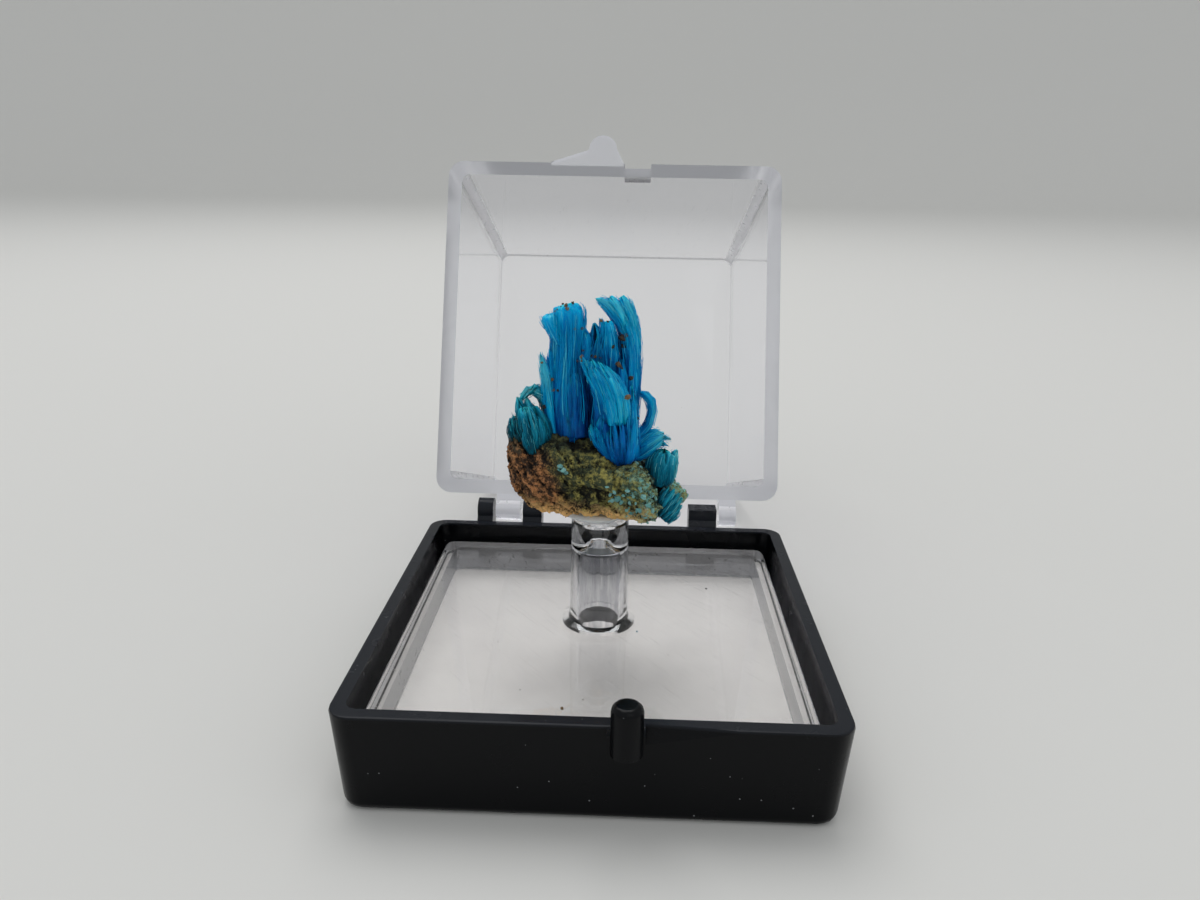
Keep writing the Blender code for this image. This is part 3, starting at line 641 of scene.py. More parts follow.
shade = add(tree, "ShaderNodeMix", data_type="RGBA", blend_type="MULTIPLY", inputs={"Factor": 1.0})
tree.links.new(skin, shade.inputs[6])
tree.links.new(grit_and_painted_shade, shade.inputs[7])
tree.links.new(shade.outputs[2], shader.inputs["Base Color"])
shader.inputs["Roughness"].default_value = 0.8
shader.inputs["Specular IOR Level"].default_value = 0.35
coarse_bump = bump(tree, shader, medium, 0.5, 0.25)
bump(tree, shader, fine, 0.7, 0.12, coarse_bump)
settle(rock_piece, rock_stone, "base", "matrix_rock", "matrix")

# %% [markdown]
# Loose crumbs sit all over the broken rock, and the green salts grow on it as tiny grains. Both are
# the same job: many small angular bodies on a surface, denser in some places than in others. A
# Geometry Nodes tree spreads points by a weight that the surface carries, sets a small
# icosphere on each, and turns and squashes it at random. Twenty faces a grain are enough.

# %% Geometry Nodes tree that scatters grains


def tree_with_inputs(name, inputs):
    """An empty Geometry Nodes tree with Geometry in and out, its values and a Material."""
    tree = bpy.data.node_groups.new(name, "GeometryNodeTree")
    new = tree.interface.new_socket
    new("Geometry", in_out="INPUT", socket_type="NodeSocketGeometry")
    for label, kind, value in inputs:
        socket = new(label, in_out="INPUT", socket_type=kind)
        if value is not None:
            socket.default_value = value
    new("Material", in_out="INPUT", socket_type="NodeSocketMaterial")
    new("Geometry", in_out="OUTPUT", socket_type="NodeSocketGeometry")
    return tree, tree.nodes.new("NodeGroupInput"), tree.nodes.new("NodeGroupOutput")


def finish_tree(tree, given, result, geometry):
    """End a tree with Realize Instances and Set Material."""
    real = add(tree, "GeometryNodeRealizeInstances")
    tree.links.new(geometry, real.inputs["Geometry"])
    painted = add(tree, "GeometryNodeSetMaterial")
    tree.links.new(real.outputs[0], painted.inputs["Geometry"])
    tree.links.new(given.outputs["Material"], painted.inputs["Material"])
    tree.links.new(painted.outputs[0], result.inputs["Geometry"])


def make_grain_tree():
    tree, given, result = tree_with_inputs("scatter_grains", [
        ("Per mm2", "NodeSocketFloat", 4.0), ("Smallest", "NodeSocketFloat", 0.05 * MM),
        ("Largest", "NodeSocketFloat", 0.2 * MM), ("Seed", "NodeSocketInt", 1)])
    link = tree.links.new
    spread_out = add(tree, "GeometryNodeDistributePointsOnFaces", distribute_method="RANDOM")
    link(given.outputs["Geometry"], spread_out.inputs["Mesh"])
    weight = add(tree, "GeometryNodeInputNamedAttribute", inputs={"Name": "weight"}).outputs["Attribute"]
    per_m2 = add(tree, "ShaderNodeMath", operation="MULTIPLY", inputs={1: 1 / MM ** 2})
    link(given.outputs["Per mm2"], per_m2.inputs[0])
    density = add(tree, "ShaderNodeMath", operation="MULTIPLY")
    link(per_m2.outputs[0], density.inputs[0])
    link(weight, density.inputs[1])
    link(density.outputs[0], spread_out.inputs["Density"])
    link(given.outputs["Seed"], spread_out.inputs["Seed"])
    grain = add(tree, "GeometryNodeMeshIcoSphere", inputs={"Radius": 1.0, "Subdivisions": 1})
    placed = add(tree, "GeometryNodeInstanceOnPoints")
    link(spread_out.outputs["Points"], placed.inputs["Points"])
    link(grain.outputs["Mesh"], placed.inputs["Instance"])
    turn = add(tree, "FunctionNodeRandomValue", data_type="FLOAT_VECTOR",
               inputs={0: (0, 0, 0), 1: (6.28, 6.28, 6.28)})
    link(given.outputs["Seed"], turn.inputs["Seed"])
    link(turn.outputs[0], placed.inputs["Rotation"])
    size = add(tree, "FunctionNodeRandomValue", data_type="FLOAT")
    link(given.outputs["Smallest"], size.inputs[2])
    link(given.outputs["Largest"], size.inputs[3])
    shape = add(tree, "FunctionNodeRandomValue", data_type="FLOAT_VECTOR",
                inputs={0: (0.25, 0.25, 0.25), 1: (1.6, 1.3, 0.9)})
    scaled = add(tree, "ShaderNodeVectorMath", operation="SCALE")
    link(shape.outputs[0], scaled.inputs[0])
    link(size.outputs[1], scaled.inputs[3])
    link(scaled.outputs[0], placed.inputs["Scale"])
    tone = add(tree, "FunctionNodeRandomValue", data_type="FLOAT")
    toned = add(tree, "GeometryNodeStoreNamedAttribute", data_type="FLOAT", domain="INSTANCE",
                inputs={"Name": "tone"})
    link(placed.outputs[0], toned.inputs["Geometry"])
    link(tone.outputs[1], toned.inputs["Value"])
    finish_tree(tree, given, result, toned.outputs[0])
    return tree


def grow(name, tree, source, mat, **sizes):
    """Run a Geometry Nodes tree on an object and return its result as a plain mesh object."""
    run = source.modifiers.new("grow", "NODES")
    sockets = {s.name: s.identifier for s in tree.interface.items_tree if s.in_out == "INPUT"}
    run.node_group = tree
    run[sockets["Material"]] = mat
    for key, value in sizes.items():
        run[sockets[key.replace("_", " ")]] = value
    ready = source.evaluated_get(bpy.context.evaluated_depsgraph_get())
    mesh = bpy.data.meshes.new_from_object(ready)
    source.modifiers.remove(run)
    mesh.name = name
    piece = bpy.data.objects.new(name, mesh)
    scene.collection.objects.link(piece)
    print(name, sum(len(p.vertices) - 2 for p in mesh.polygons), "triangles")
    return piece


GRAIN_TREE = make_grain_tree()


def set_weight(piece, rule):
    """Store how densely grains may lie at each point, by a rule of the point in mm and its normal."""
    mesh = piece.data
    if "weight" not in mesh.attributes:
        mesh.attributes.new("weight", "FLOAT", "POINT")
    values = [max(0.0, rule(v.co / MM, v.normal)) for v in mesh.vertices]
    mesh.attributes["weight"].data.foreach_set("value", values)


def patchy(p, per_mm, shift, cut):
    """A patchy share from 0 to 1 that is positive only where the noise passes the cut."""
    return min(1.0, max(0.0, (noise.noise(p * per_mm + Vector((shift, 0, 0))) - cut) * 4))


# %% Crumbs and copper salts on the rock
copper_salt, tree, shader = finish("copper_salt")
salt_tone = add(tree, "ShaderNodeAttribute", attribute_name="tone").outputs["Fac"]
tree.links.new(blend_colours(tree, salt_tone, (0.02, 0.17, 0.18), (0.24, 0.52, 0.50)), shader.inputs["Base Color"])
shader.inputs["Roughness"].default_value = 0.55
shader.inputs["Subsurface Weight"].default_value = 0.3
shader.inputs["Subsurface Scale"].default_value = 0.15 * MM

set_weight(rock_piece, lambda p, n: 0.35 + 0.65 * patchy(p, 0.5, 3.0, -0.1))
settle(grow("rock_crumbs", GRAIN_TREE, rock_piece, rock_stone, Per_mm2=3.0, Smallest=0.03 * MM,
            Largest=0.12 * MM, Seed=11), rock_stone, "base", "matrix_rock")
set_weight(rock_piece, lambda p, n: patchy(p, 1.1, 9.0, 0.10) * min(1.0, max(0.0, (p.x - 0.4) / 1.5)))
settle(grow("salt_grains", GRAIN_TREE, rock_piece, copper_salt, Per_mm2=9.0, Smallest=0.04 * MM,
            Largest=0.22 * MM, Seed=12), copper_salt, "base", "matrix_rock")
rock_piece.data.attributes.remove(rock_piece.data.attributes["weight"])

# %% [markdown]
# The crystals are bundles of parallel fibres, curved like locks of hair. A solid bundle with a
# stripe texture looks like plastic, so each fibre is a thin tube of its own, and Geometry Nodes
# grow them: a guide line follows each bundle's middle and carries its half width and half depth,
# the tree copies the line once for each fibre, moves every copy out to its place in the section,
# cuts it at a random length so that the tip is ragged, and sweeps a small circle along it.
# The guide lines are the same ones that the CAD bundles were lofted along.

# %% Guide lines: the middle of each bundle from its root to its tip
# A row is (x, y, z, half width, half depth, light), the first five in mm and the light from 0 for
# deep blue to 1 for pale. A bundle is its rows, its number of loose fibres, how ragged its tip is as
# a share of its length, and how long its rounded end is in mm.
MAIN_BUNDLES = [
    # column
    ([(-2.72, -0.2, 23.88, 1.49, 1.3, 0.14), (-2.78, -0.3, 24.93, 1.56, 1.6, 0.14),
      (-2.92, -0.2, 26.31, 1.45, 1.7, 0.2), (-3.03, -0.1, 28.44, 1.32, 1.6, 0.32),
      (-3.01, 0.1, 30.53, 1.18, 1.5, 0.44), (-2.98, 0.3, 32.27, 1.2, 1.4, 0.5),
      (-2.97, 0.4, 33.71, 1.21, 1.25, 0.54), (-3.03, 0.5, 34.52, 1.15, 1.1, 0.56),
      (-3.07, 0.5, 34.95, 0.94, 0.9, 0.6), (-3.11, 0.5, 35.13, 0.59, 0.7, 0.62)], 130, 0.1, 0.35),
    # knob
    ([(-3.37, -0.3, 31.65, 0.45, 0.9, 0.45), (-3.75, -0.1, 32.64, 0.55, 0.9, 0.54),
      (-4.2, 0, 33.54, 0.68, 0.8, 0.6), (-4.45, 0.1, 34.01, 0.61, 0.7, 0.64),
      (-4.54, 0.1, 34.36, 0.47, 0.55, 0.64)], 24, 0.06, 0.35),
    # middle
    ([(-1.32, 1, 23.81, 1.08, 1.7, 0.06), (-1.24, 1.1, 26.01, 1.18, 1.8, 0.06),
      (-1.06, 1.1, 28.21, 1.19, 1.8, 0.12), (-0.9, 1, 29.96, 1.14, 1.5, 0.3),
      (-0.78, 0.8, 31.29, 1, 1.2, 0.42), (-0.61, 0.7, 32.26, 0.69, 0.9, 0.46),
      (-0.69, 0.7, 33.09, 0.35, 0.6, 0.52), (-0.86, 0.7, 33.61, 0.1, 0.3, 0.52)], 110, 0.34, 0.15),
    # small blade
    ([(0.66, 0.6, 27.51, 0.87, 1.2, 0.18), (0.52, 0.5, 29.47, 0.86, 1.2, 0.26),
      (0.49, 0.3, 30.99, 0.79, 1.1, 0.4), (0.47, 0.2, 32.06, 0.7, 0.9, 0.54),
      (0.43, 0.1, 33.01, 0.51, 0.7, 0.64), (0.34, 0, 33.65, 0.39, 0.5, 0.72),
      (0.31, 0, 33.9, 0.27, 0.35, 0.76)], 60, 0.08, 0.3),
    # small spike
    ([(0.12, 0, 32.09, 0.35, 0.5, 0.55), (-0.02, 0, 33.02, 0.23, 0.4, 0.6),
      (-0.2, 0, 33.74, 0.14, 0.3, 0.62), (-0.41, 0, 34.06, 0.06, 0.15, 0.65)], 12, 0.1, 0.1),
    # tall stem
    ([(2.26, 0.7, 23.44, 0.79, 1.3, 0.24), (2.29, 0.8, 25.64, 0.7, 1.5, 0.32),
      (2.29, 0.9, 27.8, 0.7, 1.5, 0.36), (2.3, 1, 29.94, 0.74, 1.5, 0.42),
      (2.27, 1, 31.53, 0.75, 1.4, 0.48), (2.14, 1, 32.69, 0.75, 1.2, 0.56),
      (1.87, 1, 33.62, 0.7, 0.9, 0.62), (1.6, 1, 34.34, 0.6, 0.7, 0.66)], 100, 0.1, 0.5),
    # tall tip left
    ([(1.86, 1, 32.36, 0.44, 0.9, 0.54), (1.46, 1, 33.51, 0.52, 0.8, 0.6),
      (0.93, 1, 34.32, 0.52, 0.6, 0.68), (0.29, 1, 34.98, 0.39, 0.45, 0.78),
      (-0.28, 1, 35.38, 0.23, 0.3, 0.86), (-0.82, 1, 35.54, 0.07, 0.15, 0.95)], 46, 0.1, 0.15),
    # tall tip middle
    ([(2.11, 1, 32.58, 0.48, 0.9, 0.56), (1.77, 1, 33.62, 0.52, 0.8, 0.62),
      (1.28, 1, 34.54, 0.45, 0.6, 0.68), (0.75, 1, 35.25, 0.37, 0.42, 0.74),
      (0.35, 1, 35.73, 0.23, 0.28, 0.8)], 46, 0.18, 0.12),
    # tall tip right
    ([(2.53, 1, 32.38, 0.44, 0.9, 0.52), (2.34, 1, 33.53, 0.46, 0.8, 0.58),
      (2.01, 1, 34.45, 0.43, 0.6, 0.64), (1.63, 1, 35.27, 0.37, 0.42, 0.72),
      (1.33, 1, 35.79, 0.23, 0.28, 0.8)], 46, 0.2, 0.12),
    # tall shoulder
    ([(2.81, 1, 31.76, 0.29, 0.8, 0.55), (2.69, 1, 32.91, 0.29, 0.6, 0.6),
      (2.46, 1, 33.94, 0.25, 0.45, 0.66), (2.21, 1, 34.77, 0.14, 0.3, 0.7),
      (1.99, 1, 35.27, 0.06, 0.2, 0.75)], 24, 0.12, 0.15),
    # left spike
    ([(-3.81, -0.9, 24.3, 0.48, 0.8, 0.44), (-4.14, -1, 25.95, 0.52, 0.8, 0.58),
      (-4.43, -1.1, 27.58, 0.48, 0.75, 0.76), (-4.59, -1.1, 29.06, 0.39, 0.6, 0.92),
      (-4.87, -1, 30.29, 0.26, 0.4, 0.98), (-5.16, -1, 31.43, 0.06, 0.15, 0.9)], 56, 0.2, 0.12),
    # left blade
    ([(-3.84, -0.6, 25.85, 0.55, 0.8, 0.34), (-4.04, -0.5, 27.98, 0.44, 0.8, 0.44),
      (-4.2, -0.4, 29.76, 0.35, 0.7, 0.52), (-4.3, -0.4, 30.81, 0.25, 0.5, 0.58),
      (-4.41, -0.4, 31.59, 0.08, 0.25, 0.58)], 36, 0.1, 0.12),
    # front back
    ([(0.51, -2.2, 25.45, 1.07, 1.1, 0.16), (0.4, -2.1, 26.9, 0.94, 1.2, 0.16),
      (0.27, -1.9, 28.11, 0.84, 1.2, 0.22), (0.06, -1.6, 29.19, 0.76, 1.1, 0.3),
      (-0.13, -1.3, 30.06, 0.51, 0.8, 0.36)], 60, 0.35, 0.2),
    # base leaf
    ([(1.31, -2.6, 23.05, 0.35, 0.7, 0.26), (0.65, -3.05, 23.86, 0.57, 0.7, 0.26),
      (0.11, -3.2, 24.61, 0.61, 0.6, 0.4), (-0.48, -3.2, 25.39, 0.43, 0.45, 0.58),
      (-0.8, -3.1, 26.09, 0.12, 0.25, 0.74)], 60, 0.6, 0.12),
    # base right
    ([(2.08, -2.4, 22.98, 0.56, 0.9, 0.18), (2.3, -2.8, 23.96, 0.68, 1, 0.2),
      (2.41, -2.8, 25.14, 0.61, 1, 0.32), (2.4, -2.4, 26.4, 0.49, 0.9, 0.44),
      (2.42, -1.9, 27.75, 0.33, 0.7, 0.48), (2.43, -1.5, 28.91, 0.12, 0.4, 0.5)], 70, 0.5, 0.12),
    # right fill
    ([(2.49, -1.6, 22.72, 0.69, 1, 0.24), (2.74, -1.7, 23.85, 0.5, 0.9, 0.42),
      (2.69, -1.5, 24.87, 0.31, 0.7, 0.54), (2.56, -1, 25.7, 0.13, 0.4, 0.6)], 36, 0.4, 0.12),
    # curl
    ([(2.65, -1, 24.24, 0.21, 0.4, 0.5), (3.34, -1, 24.7, 0.28, 0.42, 0.6),
      (3.94, -1, 25.52, 0.29, 0.42, 0.66), (4.18, -1, 26.61, 0.28, 0.4, 0.66),
      (4.02, -0.9, 27.48, 0.26, 0.36, 0.66), (3.58, -0.8, 27.93, 0.23, 0.32, 0.64),
      (3.04, -0.7, 27.97, 0.15, 0.25, 0.62)], 60, 0.06, 0.2),
    # fan high
    ([(2.48, -1, 23.08, 0.63, 0.7, 0.5), (3.3, -1.1, 23.79, 0.61, 0.6, 0.66),
      (4.06, -1.1, 24.41, 0.42, 0.45, 0.8), (4.68, -1, 24.65, 0.23, 0.3, 0.94),
      (5.27, -0.9, 24.7, 0.07, 0.15, 1)], 50, 0.45, 0.12),
    # fan middle
    ([(2.64, -1.3, 22.85, 0.42, 0.6, 0.44), (3.56, -1.5, 23.7, 0.38, 0.5, 0.66),
      (4.42, -1.6, 24.25, 0.27, 0.4, 0.82), (5.19, -1.5, 24.49, 0.15, 0.25, 0.95),
      (5.85, -1.4, 24.3, 0.05, 0.12, 1)], 50, 0.45, 0.12),
    # fan low
    ([(2.75, -1.5, 22.58, 0.31, 0.5, 0.44), (3.78, -1.7, 23.22, 0.29, 0.4, 0.66),
      (4.58, -1.8, 23.88, 0.23, 0.3, 0.8), (5.2, -1.7, 24.08, 0.12, 0.2, 0.92),
      (5.74, -1.6, 23.74, 0.05, 0.12, 0.95)], 30, 0.45, 0.12),
    # column front
    ([(-2.23, -1, 24.43, 1.05, 0.8, 0.08), (-2.23, -1.2, 26.06, 1.04, 0.8, 0.12),
      (-2.33, -1.2, 28.19, 0.89, 0.7, 0.26), (-2.46, -1, 29.93, 0.68, 0.5, 0.42),
      (-2.53, -0.8, 31.14, 0.37, 0.3, 0.5)], 60, 0.5, 0.12),
    # middle leaf
    ([(-1.71, 0.2, 28.41, 0.52, 0.9, 0.18), (-1.56, 0, 30.16, 0.58, 0.8, 0.35),
      (-1.44, 0, 31.64, 0.5, 0.6, 0.48), (-1.52, 0.1, 32.66, 0.31, 0.4, 0.52),
      (-1.64, 0.2, 33.26, 0.1, 0.2, 0.55)], 40, 0.3, 0.12),
    # base
    ([(1.81, -2.2, 22.76, 0.62, 0.9, 0.16), (1.59, -2.7, 23.59, 1.15, 1, 0.12),
      (1.42, -2.9, 24.5, 1.64, 1.1, 0.1), (1.26, -2.9, 25.45, 1.77, 1.05, 0.18),
      (1.2, -2.8, 26.27, 1.63, 0.9, 0.32), (1.12, -2.6, 26.95, 1.22, 0.8, 0.42)], 120, 0.6, 0.12),
    # fan back
    ([(2.52, -0.7, 23.32, 0.46, 0.6, 0.4), (3.13, -0.7, 24.05, 0.42, 0.5, 0.54),
      (3.8, -0.6, 24.59, 0.27, 0.35, 0.68), (4.43, -0.5, 24.76, 0.13, 0.2, 0.82),
      (4.96, -0.4, 24.61, 0.05, 0.12, 0.92)], 30, 0.35, 0.12),
    # blade spikes
    ([(-0.57, -2.3, 29.02, 0.26, 0.4, 0.4), (-1.07, -2.2, 30.02, 0.24, 0.4, 0.48),
      (-1.5, -2, 30.79, 0.16, 0.3, 0.56), (-1.74, -1.8, 31.36, 0.05, 0.15, 0.64)], 30, 0.4, 0.12),
    # stem side
    ([(1.37, -0.9, 25.53, 0.63, 0.8, 0.34), (1.48, -0.7, 27.1, 0.62, 0.8, 0.38),
      (1.55, -0.5, 28.65, 0.56, 0.8, 0.42), (1.53, -0.2, 29.86, 0.46, 0.7, 0.46),
      (1.39, 0, 30.76, 0.27, 0.5, 0.5)], 50, 0.4, 0.15),
    # front blade a
    ([(0.54, -2.95, 26.08, 0.41, 0.5, 0.36), (0.31, -3, 27.35, 0.48, 0.6, 0.36),
      (-0.07, -2.85, 28.44, 0.48, 0.6, 0.42), (-0.56, -2.55, 29.39, 0.44, 0.55, 0.5),
      (-1.01, -2.3, 30.25, 0.34, 0.42, 0.58), (-1.31, -2.1, 31.06, 0.09, 0.19, 0.66)], 56, 0.4, 0.12),
    # front blade b
    ([(1.03, -3.1, 26.01, 0.49, 0.6, 0.62), (0.82, -3.2, 27.41, 0.54, 0.67, 0.56),
      (0.45, -3.05, 28.51, 0.52, 0.64, 0.54), (-0.04, -2.75, 29.56, 0.46, 0.57, 0.6),
      (-0.52, -2.5, 30.36, 0.34, 0.42, 0.64), (-0.92, -2.3, 31.16, 0.09, 0.19, 0.7)], 60, 0.35, 0.12),
    # front blade c
    ([(1.48, -3.1, 25.98, 0.49, 0.6, 0.68), (1.34, -3.15, 27.41, 0.52, 0.64, 0.64),
      (1.06, -3, 28.51, 0.5, 0.62, 0.58), (0.61, -2.75, 29.47, 0.44, 0.55, 0.6),
      (0.1, -2.5, 30.22, 0.32, 0.4, 0.66), (-0.36, -2.3, 31.03, 0.09, 0.19, 0.74)], 60, 0.35, 0.12),
    # front blade d
    ([(1.9, -2.85, 26.01, 0.39, 0.47, 0.6), (1.87, -2.9, 27.36, 0.44, 0.55, 0.56),
      (1.64, -2.7, 28.35, 0.42, 0.52, 0.52), (1.21, -2.4, 29.25, 0.36, 0.45, 0.54),
      (0.73, -2.2, 29.99, 0.25, 0.31, 0.6), (0.28, -2, 30.63, 0.07, 0.19, 0.68)], 50, 0.4, 0.12),
]
LEFT_BUNDLES = [
    # tuft, from left to right
    ([(-5.45, -1.9, 23.36, 0.65, 0.85, 0), (-5.75, -2.3, 24.77, 0.87, 1.15, 0.16),
      (-6.12, -2.3, 25.94, 0.74, 0.98, 0.34), (-6.5, -2.1, 26.99, 0.27, 0.35, 0.56)], 70, 0.6, 0.12),
    ([(-5.15, -1.8, 23.44, 0.61, 0.79, 0), (-5, -2.1, 24.73, 0.74, 0.98, 0.16),
      (-5.21, -2.1, 25.91, 0.62, 0.82, 0.34), (-5.57, -1.9, 27.07, 0.21, 0.27, 0.56)], 64, 0.6, 0.12),
    ([(-5.36, -2.3, 23.7, 0.41, 0.55, 0.1), (-5.37, -2.9, 25.17, 0.43, 0.57, 0.26),
      (-5.64, -2.9, 26.33, 0.35, 0.46, 0.42), (-6.02, -2.5, 27.26, 0.09, 0.15, 0.6)], 34, 0.6, 0.12),
    ([(-4.9, -1.7, 23.75, 0.42, 0.55, 0), (-4.59, -1.8, 24.65, 0.44, 0.57, 0.16),
      (-4.59, -1.8, 25.52, 0.29, 0.38, 0.34), (-4.77, -1.7, 26.34, 0.07, 0.15, 0.56)], 30, 0.6, 0.12),
    # crest of the tuft
    ([(-6.14, -1.5, 24.96, 0.46, 0.6, 0.2), (-6.47, -1.5, 26.14, 0.48, 0.63, 0.34),
      (-6.79, -1.4, 27.07, 0.31, 0.41, 0.5), (-7.04, -1.3, 27.67, 0.08, 0.15, 0.7)], 30, 0.5, 0.12),
    ([(-5.75, -1.5, 25.29, 0.42, 0.55, 0.2), (-5.87, -1.5, 26.47, 0.39, 0.52, 0.34),
      (-6.14, -1.4, 27.19, 0.23, 0.3, 0.5), (-6.31, -1.3, 27.74, 0.07, 0.15, 0.7)], 30, 0.5, 0.12),
    # mossy edge
    ([(-6.58, -1.6, 24.05, 0.48, 0.63, 0), (-6.86, -1.8, 24.97, 0.5, 0.65, 0.03),
      (-7.11, -1.8, 25.72, 0.33, 0.44, 0.12), (-7.31, -1.6, 26.3, 0.08, 0.15, 0.34)], 30, 0.7, 0.12),
    ([(-7.1, -1.2, 23.92, 0.46, 0.6, 0), (-7.33, -1.4, 24.68, 0.46, 0.6, 0),
      (-7.51, -1.4, 25.33, 0.27, 0.35, 0.1), (-7.62, -1.2, 25.81, 0.08, 0.15, 0.3)], 30, 0.7, 0.12),
    # arch
    ([(-4.71, -0.9, 25.8, 0.27, 0.4, 0.34), (-4.68, -0.8, 26.8, 0.33, 0.45, 0.5),
      (-4.92, -0.8, 27.71, 0.37, 0.5, 0.6), (-5.48, -0.9, 28.17, 0.35, 0.45, 0.64),
      (-6.08, -1, 28.09, 0.31, 0.4, 0.64), (-6.55, -1.1, 27.64, 0.23, 0.3, 0.64),
      (-6.83, -1.2, 27.17, 0.08, 0.2, 0.64)], 70, 0.35, 0.12),
]
RIGHT_BUNDLES = [
    # chunk
    ([(4.98, -1.9, 20.45, 0.74, 0.7, 0.3), (5.02, -1.9, 21.12, 1.09, 0.9, 0.36),
      (5.1, -1.9, 22.12, 1.17, 1, 0.46), (5.24, -1.8, 22.97, 1.02, 0.9, 0.56),
      (5.39, -1.7, 23.6, 0.62, 0.6, 0.66)], 80, 0.35, 0.1),
    # chunk spikes
    ([(5.61, -1.7, 21.74, 0.5, 0.7, 0.46), (5.95, -1.5, 22.56, 0.44, 0.5, 0.56),
      (6.21, -1.4, 23.14, 0.27, 0.3, 0.7), (6.41, -1.3, 23.41, 0.08, 0.2, 0.8)], 30, 0.45, 0.1),
]
CORNER_BUNDLES = [
    # crust leaves, from the top down
    ([(4.68, -2.8, 18.99, 0.23, 0.31, 0.1), (5.12, -2.9, 19.71, 0.23, 0.31, 0.26),
      (5.52, -2.8, 20.24, 0.15, 0.19, 0.42), (5.77, -2.6, 20.62, 0.05, 0.12, 0.58)], 24, 0.4, 0.1),
    ([(4.85, -2.8, 18.55, 0.29, 0.39, 0.1), (5.34, -3, 19.37, 0.31, 0.42, 0.26),
      (5.89, -2.9, 19.95, 0.21, 0.28, 0.42), (6.24, -2.7, 20.5, 0.07, 0.12, 0.58)], 26, 0.4, 0.1),
    ([(4.97, -2.8, 18.22, 0.31, 0.42, 0.1), (5.66, -3, 19.04, 0.33, 0.44, 0.26),
      (6.27, -2.8, 19.65, 0.23, 0.31, 0.42), (6.79, -2.5, 20.11, 0.08, 0.12, 0.58)], 28, 0.4, 0.1),
    ([(5.19, -2.7, 17.96, 0.32, 0.42, 0.1), (5.89, -2.9, 18.68, 0.33, 0.44, 0.26),
      (6.5, -2.7, 19.18, 0.21, 0.28, 0.42), (6.92, -2.4, 19.58, 0.07, 0.12, 0.58)], 28, 0.4, 0.1),
    ([(5.41, -2.7, 17.68, 0.29, 0.39, 0.06), (6.02, -2.8, 18.25, 0.29, 0.39, 0.2),
      (6.53, -2.6, 18.64, 0.19, 0.25, 0.34), (6.93, -2.4, 18.96, 0.06, 0.12, 0.5)], 26, 0.4, 0.1),
    ([(5.63, -2.6, 17.48, 0.23, 0.31, 0.06), (6.15, -2.6, 17.81, 0.23, 0.31, 0.16),
      (6.54, -2.5, 18.15, 0.13, 0.17, 0.3), (6.74, -2.4, 18.45, 0.05, 0.12, 0.45)], 22, 0.4, 0.1),
]


def on_curve(rows, t):
    """A point of the smooth curve through the rows, t from 0 to 1."""
    n = len(rows) - 1
    s = min(t * n, n - 1e-6)
    i = int(s)
    u = s - i
    a, b, c, d = [Vector(rows[max(0, min(n, i + k))]) for k in (-1, 0, 1, 2)]
    return 0.5 * (2 * b + (c - a) * u + (2 * a - 5 * b + 4 * c - d) * u * u
                  + (3 * b - a - 3 * c + d) * u ** 3)


GUIDE_STEP_MM = 0.95


FIBRES_MORE = 4.0


def curve_length(rows):
    return sum((Vector(b[:3]) - Vector(a[:3])).length for a, b in zip(rows, rows[1:]))


def guide_lines(name, bundles):
    """One mesh with an edge chain for each bundle. Its points carry the bundle's sizes."""
    points, edges, carried = [], [], []
    for rows, count, rag, cap in bundles:
        length = curve_length(rows)
        steps = max(6, round(length / GUIDE_STEP_MM))
        for j in range(steps + 1):
            p = on_curve([r[:3] for r in rows], j / steps)
            size = on_curve([r[3:6] for r in rows], j / steps)
            if j:
                edges.append((len(points) - 1, len(points)))
            points.append(p * MM)
            carried.append((size.x * MM, size.y * MM, size.z, rag, length, round(count * FIBRES_MORE)))
    mesh = bpy.data.meshes.new(name)
    mesh.from_pydata(points, edges, [])
    columns = list(zip(*carried))
    for label, values in zip(("half_width", "half_depth", "light", "ragged", "length_mm"), columns):
        mesh.attributes.new(label, "FLOAT", "POINT").data.foreach_set("value", values)
    mesh.attributes.new("fibre_count", "INT", "POINT").data.foreach_set("value", columns[5])
    obj = bpy.data.objects.new(name, mesh)
    scene.collection.objects.link(obj)
    print(name, len(bundles), "bundles,", sum(b[1] for b in bundles), "fibres")
    return obj


# %% [markdown]
# In the tree below, the side and depth directions come from the line's tangent, in the same way as
# the loft's, so the fibres lie on the solid. Each fibre draws its own angle, reach, thickness and
# tone. A small noise bends them a little, because no two fibres run quite parallel.

# %% Geometry Nodes tree that grows fibres


